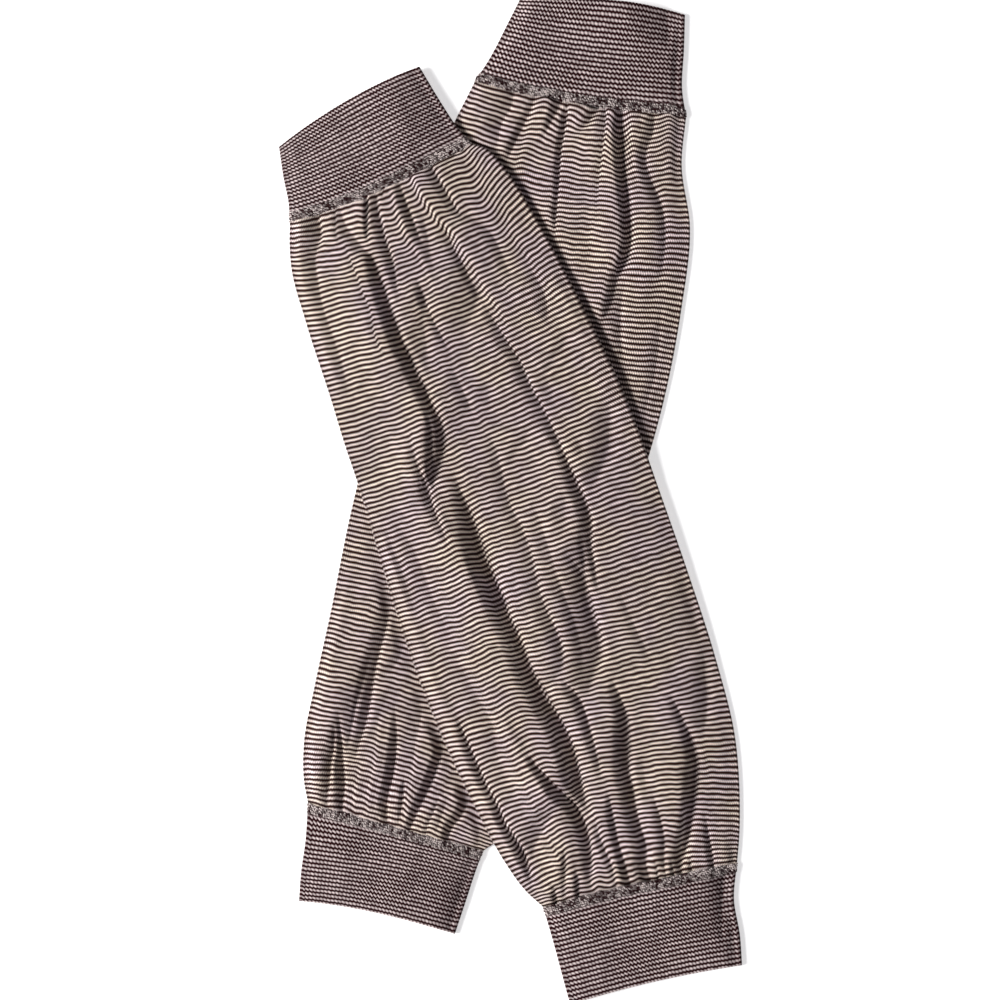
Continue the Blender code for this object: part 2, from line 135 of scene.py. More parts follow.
# Folds. First the drop, the width of the face (fall), the width of the rise
# beyond its bottom line, the slip of the stripes across it and their dip in it, the last two
# left out where they're nought. Then the bottom line as x, y and strength, 1 where it isn't
# given. Going down the sleeve the face looks right.
frontFolds = (
    ("face", (5.4, 11.5, 3, 0.3), (-99.5, 149, .9), (-98.2, 142, 1.3), (-98, 137, 1.2),
     (-99.5, 132, .95), (-100.8, 126, .8), (-100.5, 120, .75), (-99.3, 113, .65), (-98.5, 107, .5),
     (-97, 100, .4), (-93.5, 90, .4), (-90, 80, .35), (-88, 74, .4), (-86.5, 68, .4), (-85, 60, .2),
     (-83, 50, 0)),
    ("face", (3.2, 6.5, 3), (-89, 153, 0), (-87, 147, .6), (-84, 141, .9), (-80, 136), (-76, 131),
     (-72.5, 127, .9), (-70, 122, .5), (-68, 117, 0)),
    ("face", (6.8, 7.9, 4, 0.4, 0.4), (-73, 131, 0), (-71.2, 125, .4), (-69.4, 120, .75),
     (-65.5, 110, .95), (-62.4, 100), (-58.9, 90), (-55.1, 80, 1.05), (-52.4, 75, 1.1), (-50.1, 70),
     (-45.3, 60, .85), (-40.8, 50, .85), (-36, 40, .9), (-34.8, 35, .95), (-34.4, 30), (-34.4, 25),
     (-36, 20, .9), (-38, 15, .8), (-39.5, 10, .5), (-40.7, 5, 0)),
    ("face", (0.8, 3, 1.5, 0.6), (-85, 130, .5), (-82, 122), (-79, 115), (-77, 108), (-74, 102),
     (-72, 95), (-71, 88, .9), (-68, 80, .6), (-64, 72, 0)),
    ("face", (3.4, 4.5, 2.5, 0.3), (-43.5, 46, 0), (-42.5, 42, .4), (-41.5, 37, .8), (-41, 30),
     (-41, 24), (-41, 17, .9), (-41, 10, .6), (-41.5, 6, 0)),
    ("face", (4.2, 6, 2.4, 0.4, 0.2), (-53, 36, 0), (-51.5, 30, .3), (-49, 22, .7), (-46.5, 15, .9),
     (-43.5, 8), (-41.5, 2), (-39.5, -4, .9), (-37.3, -10, .75), (-35.3, -15, .6), (-33.5, -20, .3),
     (-32, -26, 0)),
    ("face", (3, 2.8, 1.2, 0.6, 0.3), (-74.3, 165, .6), (-74.3, 152), (-74.3, 141, .8),
     (-74.3, 133, 0)),
    ("face", (3.6, 6, 1.8, 0.6), (-69, 158, .7), (-68.3, 150), (-66.4, 143), (-65, 137),
     (-62.8, 130, .9), (-60.8, 124, .85), (-59.6, 118, .7), (-58.8, 111, .4), (-57.5, 103, 0)),
    ("face", (2.2, 3.6, 1.5, 0.4, 0.2), (-67, 168), (-67, 162), (-66, 157, .3), (-65, 154, 0)),
    ("face", (2.8, 5.2, 1.8, 0.4), (-57, 163, .6), (-54.5, 156), (-51.8, 149), (-49.5, 143, .9),
     (-47.5, 137, .6), (-45, 131, 0)),
    ("face", (1.7, 5.5, 3), (-45, 149, 0), (-44, 142), (-42, 134), (-41, 125, .5), (-40, 118, 0)),
    ("face", (2.4, 4.5, 3, 0.3), (-49, 118, 0), (-46.5, 110, .9), (-43, 101), (-39.5, 93),
     (-36, 86, .8), (-32, 78, .2), (-28, 70, 0)),
    ("face", (2.8, 12, 8), (-46, 112, 0), (-45, 105, .8), (-45, 95), (-44, 85), (-43, 75, .9),
     (-43, 67, 0)),
    ("face", (2.4, 5.5, 2.4, 0.4, 0.3), (-42, 175, .7), (-39, 170), (-36, 165), (-33, 160), (-30, 155),
     (-27, 150, .6), (-24, 145, 0)),
    ("face", (1, 2.5, 1, 0.3), (-91, 158, .8), (-90.5, 145), (-90, 137, .8), (-87, 130, 0)),
    ("ridge", (0.9, 5, 1.6, 0.9), (-62, 158, 1.1), (-60, 150, 1.1), (-57, 143), (-55, 137, .9),
     (-50, 130, .8), (-46, 122, .7), (-43, 115, .6), (-40, 108, .5), (-38, 100, 0)),
    ("ridge", (1.3, 7, 2.2, 1.3), (-51, 166), (-47, 157, 1.1), (-43, 152, 1.1), (-41, 149),
     (-38, 145, .9), (-35, 142.5, .9), (-33, 140, .9), (-29.5, 137, .9), (-27.5, 132, .85),
     (-24.3, 127.5, .85), (-18.8, 118, .8), (-15.3, 111.5, .75), (-11.2, 105, .7), (-6.8, 98, .6),
     (-2.3, 91, .4), (3, 84, 0)),
    ("ridge", (0.35, 5, 2.5, 0.4), (-1, 139, 0), (4, 133, .7), (8.5, 127), (13.5, 119.5), (18, 113, .9),
     (23, 106, .6), (28, 99, 0)),
    ("soft", (-0.7, 11, 0, 0, 1.3), (-27, 184, .2), (-22, 174, .9), (-17, 162), (-12, 151),
     (-6, 141, .8), (0, 131, .4), (6, 121, 0)),
    ("face", (1.1, 7, 3.5), (-34, 166, 0), (-26, 165), (-16, 167), (-10, 170, .6), (-4, 173, 0)),
    ("face", (2.2, 6.5, 4), (-28, 152, 0), (-19, 146, .8), (-10.5, 139.5), (-5.5, 131), (-2.5, 123, .6),
     (2, 113, 0)),
    ("face", (1.3, 4.5, 1.8, 0.3), (-34, 143, .4), (-32, 138, .9), (-29, 131), (-25.5, 125),
     (-21.5, 117), (-17.5, 110, .9), (-14.5, 105, .5), (-12, 99, 0)),
    ("face", (4, 16, 7), (-28, 129, .3), (-22, 118, .8), (-16.5, 107), (-18.5, 100), (-21.5, 93, .9),
     (-24, 87, .4), (-26, 81, 0)),
    ("face", (2.1, 7.5, 2.5), (9, 123, .2), (14.5, 114, .8), (18, 107), (19.5, 98), (19, 90, 0)),
    ("soft", (0.9, 16, 0), (16, 133, 0), (24, 118), (33, 101), (42, 83), (51, 64, .8), (60, 42, .4),
     (65, 30, 0)),
    ("face", (1.5, 4.5, 2.5), (31, 92, 0), (30, 86, .7), (27.5, 79), (23.5, 74), (20, 69, .8),
     (18, 65, 0)),
    ("face", (1.7, 6, 3), (-31, 71, 0), (-28, 65), (-24, 56), (-20, 47, .7), (-18, 41, 0)),
    ("face", (1.8, 9, 4), (-13, 64, 0), (-11, 57), (-10.5, 50, .6), (-10, 44, 0)),
    ("face", (2, 13, 5), (-21, 56, 0), (-22, 48, .8), (-27, 41), (-31, 34, .4), (-33, 28, 0)),
    ("face", (2, 6.5, 3), (10, 38, 0), (8.5, 32), (5, 27), (1, 22, .5), (-1, 17, 0)),
    ("face", (0.9, 6, 3), (17, 67, 0), (20, 60), (23.5, 50, .7), (26, 42, 0)),
    ("face", (2.5, 6.5, 3.5, 0.4), (-11, 98, .5), (-5, 88, .8), (.8, 79), (5.7, 71, 1.1),
     (9.5, 62, 1.15), (12.5, 56), (17.5, 47, .95), (22, 38, .9), (26.5, 28, .7), (31.5, 16, .4),
     (35.5, 7, 0)),
    ("face", (4.8, 7.5, 3, 0.4, 0.2), (19, 42, 0), (23.5, 33, .2), (27.5, 25, .35), (31, 17, .7),
     (34.7, 9), (38.5, 1), (41, -7), (42, -14), (42, -22), (43.3, -31, .9), (44.5, -40, .5),
     (46, -49, 0)),
    ("face", (1.1, 5, 3, 0.2), (27, -23, 0), (31, -30, .7), (36, -36), (39, -45), (41.5, -53),
     (44.5, -62, .9), (47, -70, .7), (48, -77, 0)),
    ("face", (7, 18, 4, 0.2), (36, -15, 0), (37.5, -25, .5), (39, -40, .8), (42, -52, .9), (44.5, -62),
     (47, -72), (47.5, -80), (45.5, -88, .9), (42, -96, .6), (39, -103, 0)),
    ("face", (4.8, 13, 7), (52, 56, 0), (51.5, 50, .4), (52, 42, .7), (52, 33, .9), (51.5, 24, 1.1),
     (48, 17), (44.5, 11, .6), (41, 5, 0)),
    ("face", (1.6, 6, 4), (34, 34, 0), (36.5, 27), (35.5, 20, 0)),
    ("face", (2.7, 8.5, 4, 0.2), (-11, 35, 0), (-8, 28, .5), (-4.5, 15, .65), (-1, 0, .6), (5, -12, .7),
     (10, -25, .85), (13.5, -40), (17, -52, 1.1), (20.5, -60, 1.3), (25, -70, 1.4), (27.3, -80, 1.4),
     (26.5, -88, 1.1), (23.5, -93, .8), (18.5, -98, .7), (16, -104, 0)),
    ("face", (1.9, 7, 3.5), (13, -3, 0), (15, -10, .8), (19.5, -23), (24, -38), (29, -52, .9),
     (33, -62, .7), (36, -72, .5), (37, -85, .3), (37, -95, 0)),
    ("face", (2, 9, 5), (26, 6, 0), (28.5, 0), (28, -7), (27, -14, .4), (28, -20, 0)),
    ("soft", (1.3, 5, 0), (-43, 4, 0), (-38, -5, .7), (-30, -20), (-25, -32), (-18, -50, .8),
     (-12, -64, 0)),
    ("face", (1.2, 4.5, 2.5), (55, -44, 0), (58.5, -51, .8), (62.5, -60), (66.5, -69), (70.5, -77),
     (73, -84, 0)),
    ("soft", (0.5, 5, 0), (47, -67, 0), (50, -75), (55, -90), (58, -99, 0)),
    ("face", (8.8, 11.2, 5, 0.5, 0.4), (-28.5, 14, 0), (-26.5, 7, .3), (-23.5, 0, .6), (-21.2, -5, .75),
     (-19, -10, .85), (-15.5, -20, .95), (-12.5, -30, 1.05), (-8.5, -40, 1.1), (-4, -50, 1.1),
     (-.5, -60, 1.05), (4.3, -70, 1.05), (8.2, -80), (12.2, -90), (17.8, -100, 1.05),
     (23.8, -110, 1.15), (29.3, -120, 1.2), (33, -130, 1.15), (35.5, -140, 1.05), (37.5, -150, .85),
     (39, -157, .4), (40, -163, 0)),
    ("face", (6.2, 7, 2.5, 0.5, 0.3), (9, -130, 0), (12.5, -136, .45), (17, -141, .7),
     (22.5, -147, .95), (28, -152, 1.05), (33.5, -158, 1.1), (37, -164, 1.1), (39.8, -171, 1.05),
     (41.5, -179), (42.3, -189, .9), (42, -198, .4)),
    ("face", (0.8, 13, 4), (20, -117, 0), (25, -126, .8), (28, -135), (30, -145, .8), (32, -152, 0)),
    ("soft", (1.4, 5, 0), (-6, -107, 0), (-3, -115, .8), (3, -128), (8, -138), (15, -147), (20, -158),
     (26, -167), (30, -178), (31, -188, .7), (31, -197, 0)),
    ("face", (4.8, 6.2, 2.5, 0.6, 0.2), (-28, -112, 0), (-23.5, -122, .65), (-19.5, -131, .8),
     (-16.5, -138, .8), (-13.5, -145, .75), (-10.5, -151, .6), (-7.5, -156, .8), (-5.2, -161),
     (-2.8, -167), (.5, -172), (4.3, -178), (7, -183), (8.8, -188, .9), (10.5, -197, .4)),
    ("face", (1.4, 8, 4), (-10, -112, 0), (-8, -122), (-6, -134), (-1, -145), (3, -154, .6),
     (6, -162, 0)),
    ("face", (4.4, 12, 2.5), (24, -158, 0), (20.5, -165, .8), (17.5, -171), (14.5, -177),
     (12.5, -182, .7), (11.5, -188, 0)),
    ("face", (3, 3.4, 1.2, 0.4), (28, -178, 0), (28.5, -185), (28.5, -197), (28.5, -204, .5)),
    ("face", (3, 3, 1.2, 0.3), (22, -198, 0), (23.5, -204), (24, -212)),
    ("face", (2.8, 2.8, 1.2, 0.3), (34, -190, 0), (35, -196), (35.5, -206, .8)),
    ("soft", (1, 3.2, 0, 0, -0.5), (44, -184, 0), (45.5, -193), (46, -203, .8)),
    ("soft", (1, 3.2, 0, 0, -0.5), (55, -188, 0), (56, -196), (57, -204, .8)),
    ("soft", (1, 3.2, 0, 0, -0.5), (66, -188, 0), (66.5, -196), (67, -203, .8)),
    ("face", (1.8, 3, 1.2, 0.3), (75.5, -186, 0), (76.5, -193), (77, -200, .8)),
    ("face", (1.8, 3, 1.2, 0.3), (83, -186, 0), (84.5, -192), (85, -199, .8)),
    ("face", (1.6, 3, 1.2, 0.3), (93, -183, 0), (94, -190), (95, -197, .8)),
    ("soft", (1.2, 5, 0), (110, -176, 0), (112, -184), (113, -191)),
    ("face", (4, 6, 2.5, 0.3), (26, -91, 0), (29, -95, .6), (34, -100), (38.3, -108), (41.3, -118),
     (44.5, -130, .7), (46.5, -140, .3), (47.5, -148, 0)),
    ("face", (7, 9.2, 4, 0.4, 0.2), (52.5, -91, 0), (54.8, -97, .35), (57, -102, .5), (60, -110, .75),
     (61.3, -120), (61.3, -130, 1.05), (61.3, -140), (63.7, -150, .95), (65.3, -160, .9),
     (68, -170, .85), (70.7, -180, .85), (70.7, -190, .8), (73, -198, .4)),
    ("face", (1.6, 7, 4), (68, -128, 0), (69.5, -140), (70.5, -150), (71.5, -158, .5), (72, -165, 0)),
    ("face", (3.3, 4.6, 2, 0.3), (51, -150, 0), (52, -157, .7), (54, -167), (56, -177), (59, -187),
     (62, -198, .7)),
    ("face", (2.5, 4.2, 1.6, 0.4), (44, -166, 0), (46, -173, .7), (49.5, -182), (53.3, -190),
     (54.5, -198, .6)),
    ("face", (2.5, 4.8, 2, 0.3), (73, -148, 0), (75, -155, .7), (78, -165), (80, -175), (80, -188, .8),
     (81, -197, .3)),
    ("ridge", (0.5, 4, 1.6, 0.8), (30, -122, 0), (37, -145, .8), (42, -160), (48, -175),
     (52, -189, .8)),
    ("ridge", (0.5, 4, 1.6, 0.8), (90, -155, 0), (89.5, -168), (88, -180), (88, -192, .7)),
    ("face", (5.8, 7.8, 3.5, 0.4, 0.2), (82, -99, 0), (88, -110, .5), (93, -122, .5), (96.8, -134, .7),
     (96.8, -144), (96.2, -152), (95.3, -160), (94, -168), (92.8, -175), (91, -182), (89.5, -188, .9),
     (89, -196, .2)),
    ("face", (3.6, 12, 4), (92, -117, 0), (94.5, -124, .8), (96.8, -135), (96, -145, .9),
     (95.5, -155, .5), (95, -163, 0)),
    ("face", (2.8, 9.5, 4), (100, -78, 0), (102, -88), (103, -102), (101.5, -114, .7), (100, -124, 0)),
    ("face", (2.2, 13, 7), (90, -33, 0), (94, -43, .8), (96, -54), (97, -64, .7), (99, -74, 0)),
    ("face", (2.8, 4.2, 1.6, 0.4), (101, -161, 0), (102.3, -169, .5), (103.8, -178), (105.3, -186),
     (106, -194, .6)),
    ("face", (2.4, 8, 5), (-62, -6, 0), (-52, -22, .7), (-46, -34), (-41, -48, .9), (-35, -62, .5),
     (-29, -76, 0)),
    ("face", (2.2, 10, 6), (-36, -68, 0), (-27, -84, .8), (-19, -98), (-11, -112), (-6, -124, .6),
     (-1, -136, 0)),
    ("face", (1.8, 7, 4), (-68, -4, 0), (-62, -22, .8), (-55, -40, .7), (-50, -58, 0)),
    ("soft", (1, 5, 0), (-70, -14, 0), (-60, -38), (-50, -66), (-40, -94), (-28, -118, .8),
     (-20, -130, 0)),
    ("face", (0.8, 9, 5), (78, -70, 0), (84, -82, .9), (88, -94, .8), (92, -104, 0)),
)

backFolds = (
    ("face", (2.8, 4.2, 2.5), (12.5, 208, .6), (10.5, 202), (8, 197), (5, 191), (2.5, 186), (-.3, 180),
     (-3, 174, .4)),
    ("face", (4.2, 10, 3), (2, 214, .5), (1.5, 208, .9), (-.5, 202), (-3.8, 197), (-5.5, 191, .9),
     (-6.5, 185, .8), (-7.5, 178, 0)),
    ("ridge", (0.7, 4, 1.2, 0.8), (13.6, 208, .7), (10.7, 198), (9, 193), (6.7, 186), (4.4, 178),
     (2.6, 172, .8), (.9, 168, .5), (-1, 162, 0)),
    ("soft", (1, 4.5, 0, 0, -0.6), (19, 211), (18.5, 203), (17, 194, .6), (16, 184, 0)),
    ("face", (3.2, 4, 1.4, 0.6, 0.3), (30, 207, .2), (29.8, 202, .9), (29, 197), (27.8, 190),
     (26.4, 182), (25.5, 170, .9), (24.9, 160, .8), (24, 150, .75), (23.3, 140, .7), (22.8, 130, .3),
     (22, 123, 0)),
    ("face", (3, 5, 2), (29, 214), (27.5, 209), (25.3, 204), (22.8, 199), (20, 194, .8), (17, 189, .4),
     (15, 184, 0)),
    ("face", (3.8, 5.4, 2.5, 0.3, 0.5), (47, 208, .3), (45.5, 203, .8), (42.8, 199, 1.1),
     (40, 195, 1.1), (36.8, 192, .8), (33, 190, .2)),
    ("face", (2.6, 6, 3, 0.8), (50, 207, .7), (49.5, 197), (48.5, 187), (47.3, 177, .8), (46, 165, .5),
     (45, 152, .3), (45, 142, 0)),
    ("face", (5.8, 6.2, 3, 0, 1.2), (58, 206, .2), (58, 198, .8), (58.2, 190), (58.6, 180, 1.05),
     (59.4, 170), (60.8, 160), (61.8, 150), (62.3, 140), (62.3, 134), (61, 128, .9), (58.7, 122, .6),
     (56.5, 116, 0)),
    ("face", (3.4, 5.2, 9, 0, 0.6), (61, 131, 0), (59.5, 125, .5), (57.3, 120, .9), (55, 114, .9),
     (53.3, 107, .9), (51.5, 101, .8), (49, 95, .8), (46.5, 90, .5), (44, 84, 0)),
    ("ridge", (0.7, 4, 2, 0.9), (61, 204, .8), (61.5, 194), (62, 184), (63, 174, .8), (65, 163, .3),
     (66, 154, 0)),
    ("face", (2.8, 6, 3, 0.2, 0.3), (74.5, 202, .2), (74.7, 195, .9), (73.7, 189), (71.5, 184, .9),
     (70.5, 178, .9), (72, 170, .9), (75.2, 162), (78.8, 153, .9), (80.3, 143, .7), (80.3, 132, .5),
     (79, 121, .3), (77, 112, 0)),
    ("soft", (0.5, 5, 0, 0, -1), (82, 203, .8), (82.5, 195), (82.5, 185), (83, 174, .6), (84, 162, 0)),
    ("face", (0.7, 4.5, 2, 0.2), (88.5, 200), (88, 190, .6), (87.5, 178), (88.5, 166, .7),
     (91, 155, 0)),
    ("face", (1.3, 5.5, 2.5), (79, 104, 0), (78, 95, .6), (77.5, 85, .9), (76.5, 75), (75, 65),
     (73, 57), (71, 50), (69.5, 43, .8), (68.5, 37, 0)),
    ("face", (3, 9, 3), (60, 114, 0), (58.3, 106, .7), (57.6, 97), (57.6, 87), (58, 79, .8),
     (59, 70, 0)),
    ("face", (1, 10, 3), (42, 167, 0), (41.5, 150, .8), (41.5, 135), (42, 120, .8), (42.5, 108, 0)),
    ("soft", (0.9, 7, 0), (70, 150, 0), (71, 138), (70, 120), (68, 104, .6), (66, 92, 0)),
    ("soft", (0.8, 7, 0), (34, 184, 0), (34, 172), (34, 152), (33, 138, 0)),
    ("soft", (0.8, 6, 0), (53, 200, 0), (53, 188), (54, 166), (51, 140, .7), (48, 118, 0)),
    ("face", (6, 9.2, 2.5, 0.3, 0.2), (-64, -34, 0), (-62.5, -42, .3), (-61.5, -50, .5),
     (-63, -60, .65), (-65.3, -70, .75), (-68, -80, .85), (-70.3, -90, .95), (-71.8, -100),
     (-73.5, -110), (-76, -120, .8), (-79, -129, .5), (-81, -137, 0)),
    ("face", (3.6, 12, 3), (-72, -78, 0), (-76, -92, .6), (-80, -106), (-82, -116), (-84, -126, .5),
     (-86, -134, 0)),
    ("face", (2, 6, 2), (-60, -55, .2), (-57, -63, .7), (-54.5, -71), (-55.8, -78), (-60, -86, .8),
     (-66, -92, .4), (-71, -97, 0)),
    ("soft", (0.9, 4, 0), (-62, -90, 0), (-67, -101), (-73, -116), (-78, -130, .6), (-81, -140, 0)),
    ("face", (4.6, 5.8, 2, 0.2), (-89, -108, 0), (-88.5, -117, .5), (-87.5, -127, .9), (-87, -135),
     (-86.5, -142, 1.1), (-86.2, -148), (-86.8, -155, .9), (-87.3, -162, .6)),
    ("face", (4.2, 6.4, 1.8, 0.2), (-92, -114, 0), (-91.5, -122, .7), (-92, -130), (-93.2, -137, 1.1),
     (-93.6, -144, 1.1), (-94.3, -150, .8), (-95, -157, .5), (-95, -163, .3)),
    ("ridge", (0.5, 3, 1.2, -0.6), (-77, -133, 0), (-78.5, -138), (-80, -145), (-81.5, -152),
     (-82, -160, .8)),
    ("ridge", (0.5, 3, 1.2, -0.6), (-67.5, -106, 0), (-68.8, -118), (-69.5, -124), (-70.8, -134),
     (-72, -142), (-74, -150), (-75, -160, .8)),
    ("face", (4.6, 5.5, 2, 0.2, 0.2), (-60, -108, .1), (-59.3, -118, .5), (-59.3, -127, .85),
     (-60, -136, 1.05), (-61.5, -145, 1.05), (-63.3, -153), (-64, -160, .9), (-63.5, -167, .4)),
    ("face", (2.4, 3.2, 1.4, 0.3), (-55, -143, 0), (-55.3, -150), (-56, -157), (-57.5, -165, .4)),
    ("face", (2, 8, 3), (-45, -96, 0), (-45.5, -105, .7), (-47, -116), (-49, -126, .9), (-51, -137, .5),
     (-53, -146, 0)),
    ("ridge", (0.5, 3, 1.2, -0.6), (-48, -124, 0), (-49.5, -132), (-51, -141), (-53, -151),
     (-55, -163, .7)),
    ("face", (5, 5.2, 2.2, 0.3, 0.2), (-38.5, -110, 0), (-36.8, -117, .7), (-34.8, -124), (-35.5, -131),
     (-38, -138), (-40.8, -146), (-44, -153, .95), (-47.2, -160, .9), (-50.5, -167, .7),
     (-53, -173, .3)),
    ("face", (1.8, 3.2, 1.4, 0.4), (-36, -152, 0), (-39, -160), (-42, -167), (-44, -174, .7)),
    ("face", (4.8, 5.2, 2, 0.3), (-24, -142, 0), (-21.3, -147, .8), (-20.8, -154), (-23.5, -160),
     (-27, -166, .9), (-31, -171, .9), (-33, -178, .5)),
    ("face", (1.8, 3.6, 1.5, 0.4), (-14, -157, 0), (-15.5, -166), (-16.5, -177, .6)),
    ("face", (1.4, 4, 2), (-31, -150, 0), (-34, -159), (-37, -168, .8), (-39, -174, 0)),
    ("soft", (0.8, 6, 0), (-84, -28, 0), (-87, -50), (-92, -74), (-96, -96, .6), (-98, -108, 0)),
)

frontCuffWaves = (
    ("face", (5, 15, 3), (118, -186), (117, -200), (117, -212, .9), (118, -228, .6), (119, -240, .2)),
    ("face", (4.2, 40, 5), (112, -190), (110, -208), (110, -225, .6)),
    ("face", (3.2, 22, 4), (-46, 226, .8), (-38, 212), (-30, 199), (-26, 192, .7)),
    ("soft", (0.8, 12, 0), (42, -200), (44, -225), (48, -255, .6)),
    ("soft", (0.6, 10, 0), (-92, 196, .8), (-90, 180), (-88, 158, .7)),
    ("soft", (0.6, 9, 0), (-62, 212, .7), (-57, 196), (-52, 176, .7)),
)

backCuffWaves = (
    ("face", (5.5, 24, 6), (84, 262), (83, 250), (82, 240, .6), (81, 232, 0)),
    ("face", (2.6, 30, 5), (90, 258), (90, 235), (89, 210, .8)),
    ("face", (1.6, 6, 2.5), (90, 256), (89.5, 235), (89, 215), (89, 207, .5)),
    ("soft", (0.8, 12, 0), (14, 262, .8), (10, 244), (4, 220, .8)),
    ("soft", (0.6, 10, 0), (-84, -165, .8), (-86, -180), (-88, -205, .7)),
    ("soft", (0.8, 9, 0), (-50, -175, .8), (-54, -190), (-58, -214, .7)),
    ("face", (3.6, 16, 3), (-17, -188, .4), (-21, -205), (-27, -224)),
)

# height that the front sleeve's right edge stands up, at each y
edgeStands = (
    (10, 0), (30, .8), (50, 1.3), (70, 2.0), (85, 2.2), (98, 1.6), (110, 1.3), (125, .6),
    (140, .9), (155, .6), (175, .8), (185, .4), (195, .7), (204, 0))

# half the thickness of a body's right side fold, along it from 0 to 100
frontRightRoll = (
    (0, 1.4), (6, 1.6), (14, 1.4), (22, 1.6), (28, 2.1), (37, 2.0), (44, 1.5), (50, .95), (100, .95))
backRightRoll = ((0, .95), (100, .95))

print("tables read")


# ---- curves and distances ----

measureRows = 30     # courses that a piece's outline and length are measured on
pointsAtOnce = 4000  # plan points taken together, to spare memory


def cubic(start, end, startPull, endPull, u):
    # point at u on the curve between two points with these tangents
    return ((2 * u**3 - 3 * u**2 + 1) * start + (u**3 - 2 * u**2 + u) * startPull
            + (3 * u**2 - 2 * u**3) * end + (u**3 - u**2) * endPull)


def smoothStep(value):
    value = np.clip(value, 0.0, 1.0)
    return value * value * (3.0 - 2.0 * value)


def curveThrough(at, values, wanted):
    # rows of values at the wanted places, on a smooth curve through the given ones
    slopes = np.gradient(values, at, axis=0)
    before = np.clip(np.searchsorted(at, wanted) - 1, 0, len(at) - 2)
    step = (at[before + 1] - at[before])[:, None]
    u = (wanted - at[before])[:, None] / step
    return cubic(values[before], values[before + 1],
                 slopes[before] * step, slopes[before + 1] * step, u)


def coursesAt(courses, alongs):
    # one row for each place along the tube: left x, y, turn, right x, y, turn
    table = np.array(courses, dtype=float)
    return curveThrough(table[:, 0], table[:, 1:], alongs)


def courseWidths(rows):
    return np.hypot(rows[:, 3] - rows[:, 0], rows[:, 4] - rows[:, 1])


def planPoints(rows, insets):
    # plan points at these distances in from the left side fold, along each course
    widths = courseWidths(rows)
    left, right = rows[:, None, 0:2], rows[:, None, 3:5]
    leftTurn, rightTurn = np.radians(rows[:, 2]), np.radians(rows[:, 5])
    leftPull = widths[:, None] * np.column_stack([np.cos(leftTurn), np.sin(leftTurn)])
    rightPull = widths[:, None] * np.column_stack([np.cos(rightTurn), np.sin(rightTurn)])
    u = (insets / widths[:, None])[..., None]
    return cubic(left, right, leftPull[:, None, :], rightPull[:, None, :], u)


def sleeveOutline(courses):
    rows = np.vstack([coursesAt(courses[part], np.linspace(0, 100, measureRows))
                      for part in ("upperCuff", "body", "lowerCuff")])
    return np.vstack([rows[:, 0:2], rows[::-1, 3:5]])


def distanceOutside(points, outline):
    # distance of plan points from a closed outline, negative inside it
    start, end = outline, np.roll(outline, -1, axis=0)
    edge = end - start
    lengthSquared = np.maximum((edge**2).sum(axis=1), 1e-9)
    climb = np.where(np.abs(edge[:, 1]) < 1e-9, 1e-9, edge[:, 1])
    flat = points.reshape(-1, 2)
    result = np.empty(len(flat))
    for first in range(0, len(flat), pointsAtOnce):
        some = flat[first:first + pointsAtOnce]
        offset = some[:, None, :] - start[None, :, :]
        u = np.clip((offset * edge).sum(axis=2) / lengthSquared, 0, 1)
        nearest = np.sqrt(((offset - u[..., None] * edge)**2).sum(axis=2)).min(axis=1)
        crosses = (start[:, 1] > some[:, 1:]) != (end[:, 1] > some[:, 1:])
        crossingX = start[:, 0] + (some[:, 1:] - start[:, 1]) * edge[:, 0] / climb
        inside = (crosses & (some[:, :1] < crossingX)).sum(axis=1) % 2 == 1
        result[first:first + pointsAtOnce] = np.where(inside, -nearest, nearest)
    return result.reshape(points.shape[:-1])


# ---- folds ----

foldShape = {
    "boost": 1.0,         # makes every fold deeper or shallower
    "slipBoost": 1.0,
    "spacing": 1.2,       # between the points of a fold's line
    "ridgeShare": 0.62,   # part of a fold's drop that stands above the cloth beside it
    "ridgeReach": 2.25,   # how far back the cloth rises to the ridge, in face widths
    "faceBend": 1.45,     # above 1 the face gets steeper towards its bottom line
    "softBend": 0.35,     # how much steeper the far side of a soft fold is
    "endWidth": 0.4,      # share of its width that a face keeps where its strength is nought
    "endReach": 3.0,      # how far past its ends a fold dies out
    "slipSharp": 0.5,     # half the width of the step in the stripes
    "ridgeSharp": 1.8,    # the same across a ridge
    "slipReach": 10.0,    # how far from a fold the stripes settle again
    "dipShare": 0.6,      # half the width of the dip, as a share of the face's width
    "dipMore": 0.8,       # and millimetres added to it
}


def smoothRoute(places, spacing):
    # a smooth curve through places (x, y, strength), with points about evenly spaced
    places = np.array([(*place, 1)[:3] for place in places], dtype=float)
    gaps = np.hypot(*np.diff(places[:, :2], axis=0).T)
    at = np.concatenate([[0], np.cumsum(gaps)])
    route = curveThrough(at, places, np.linspace(0, at[-1], max(4, int(at[-1] / spacing) + 1)))
    route[:, 2] = np.clip(route[:, 2], 0, None)
    return route


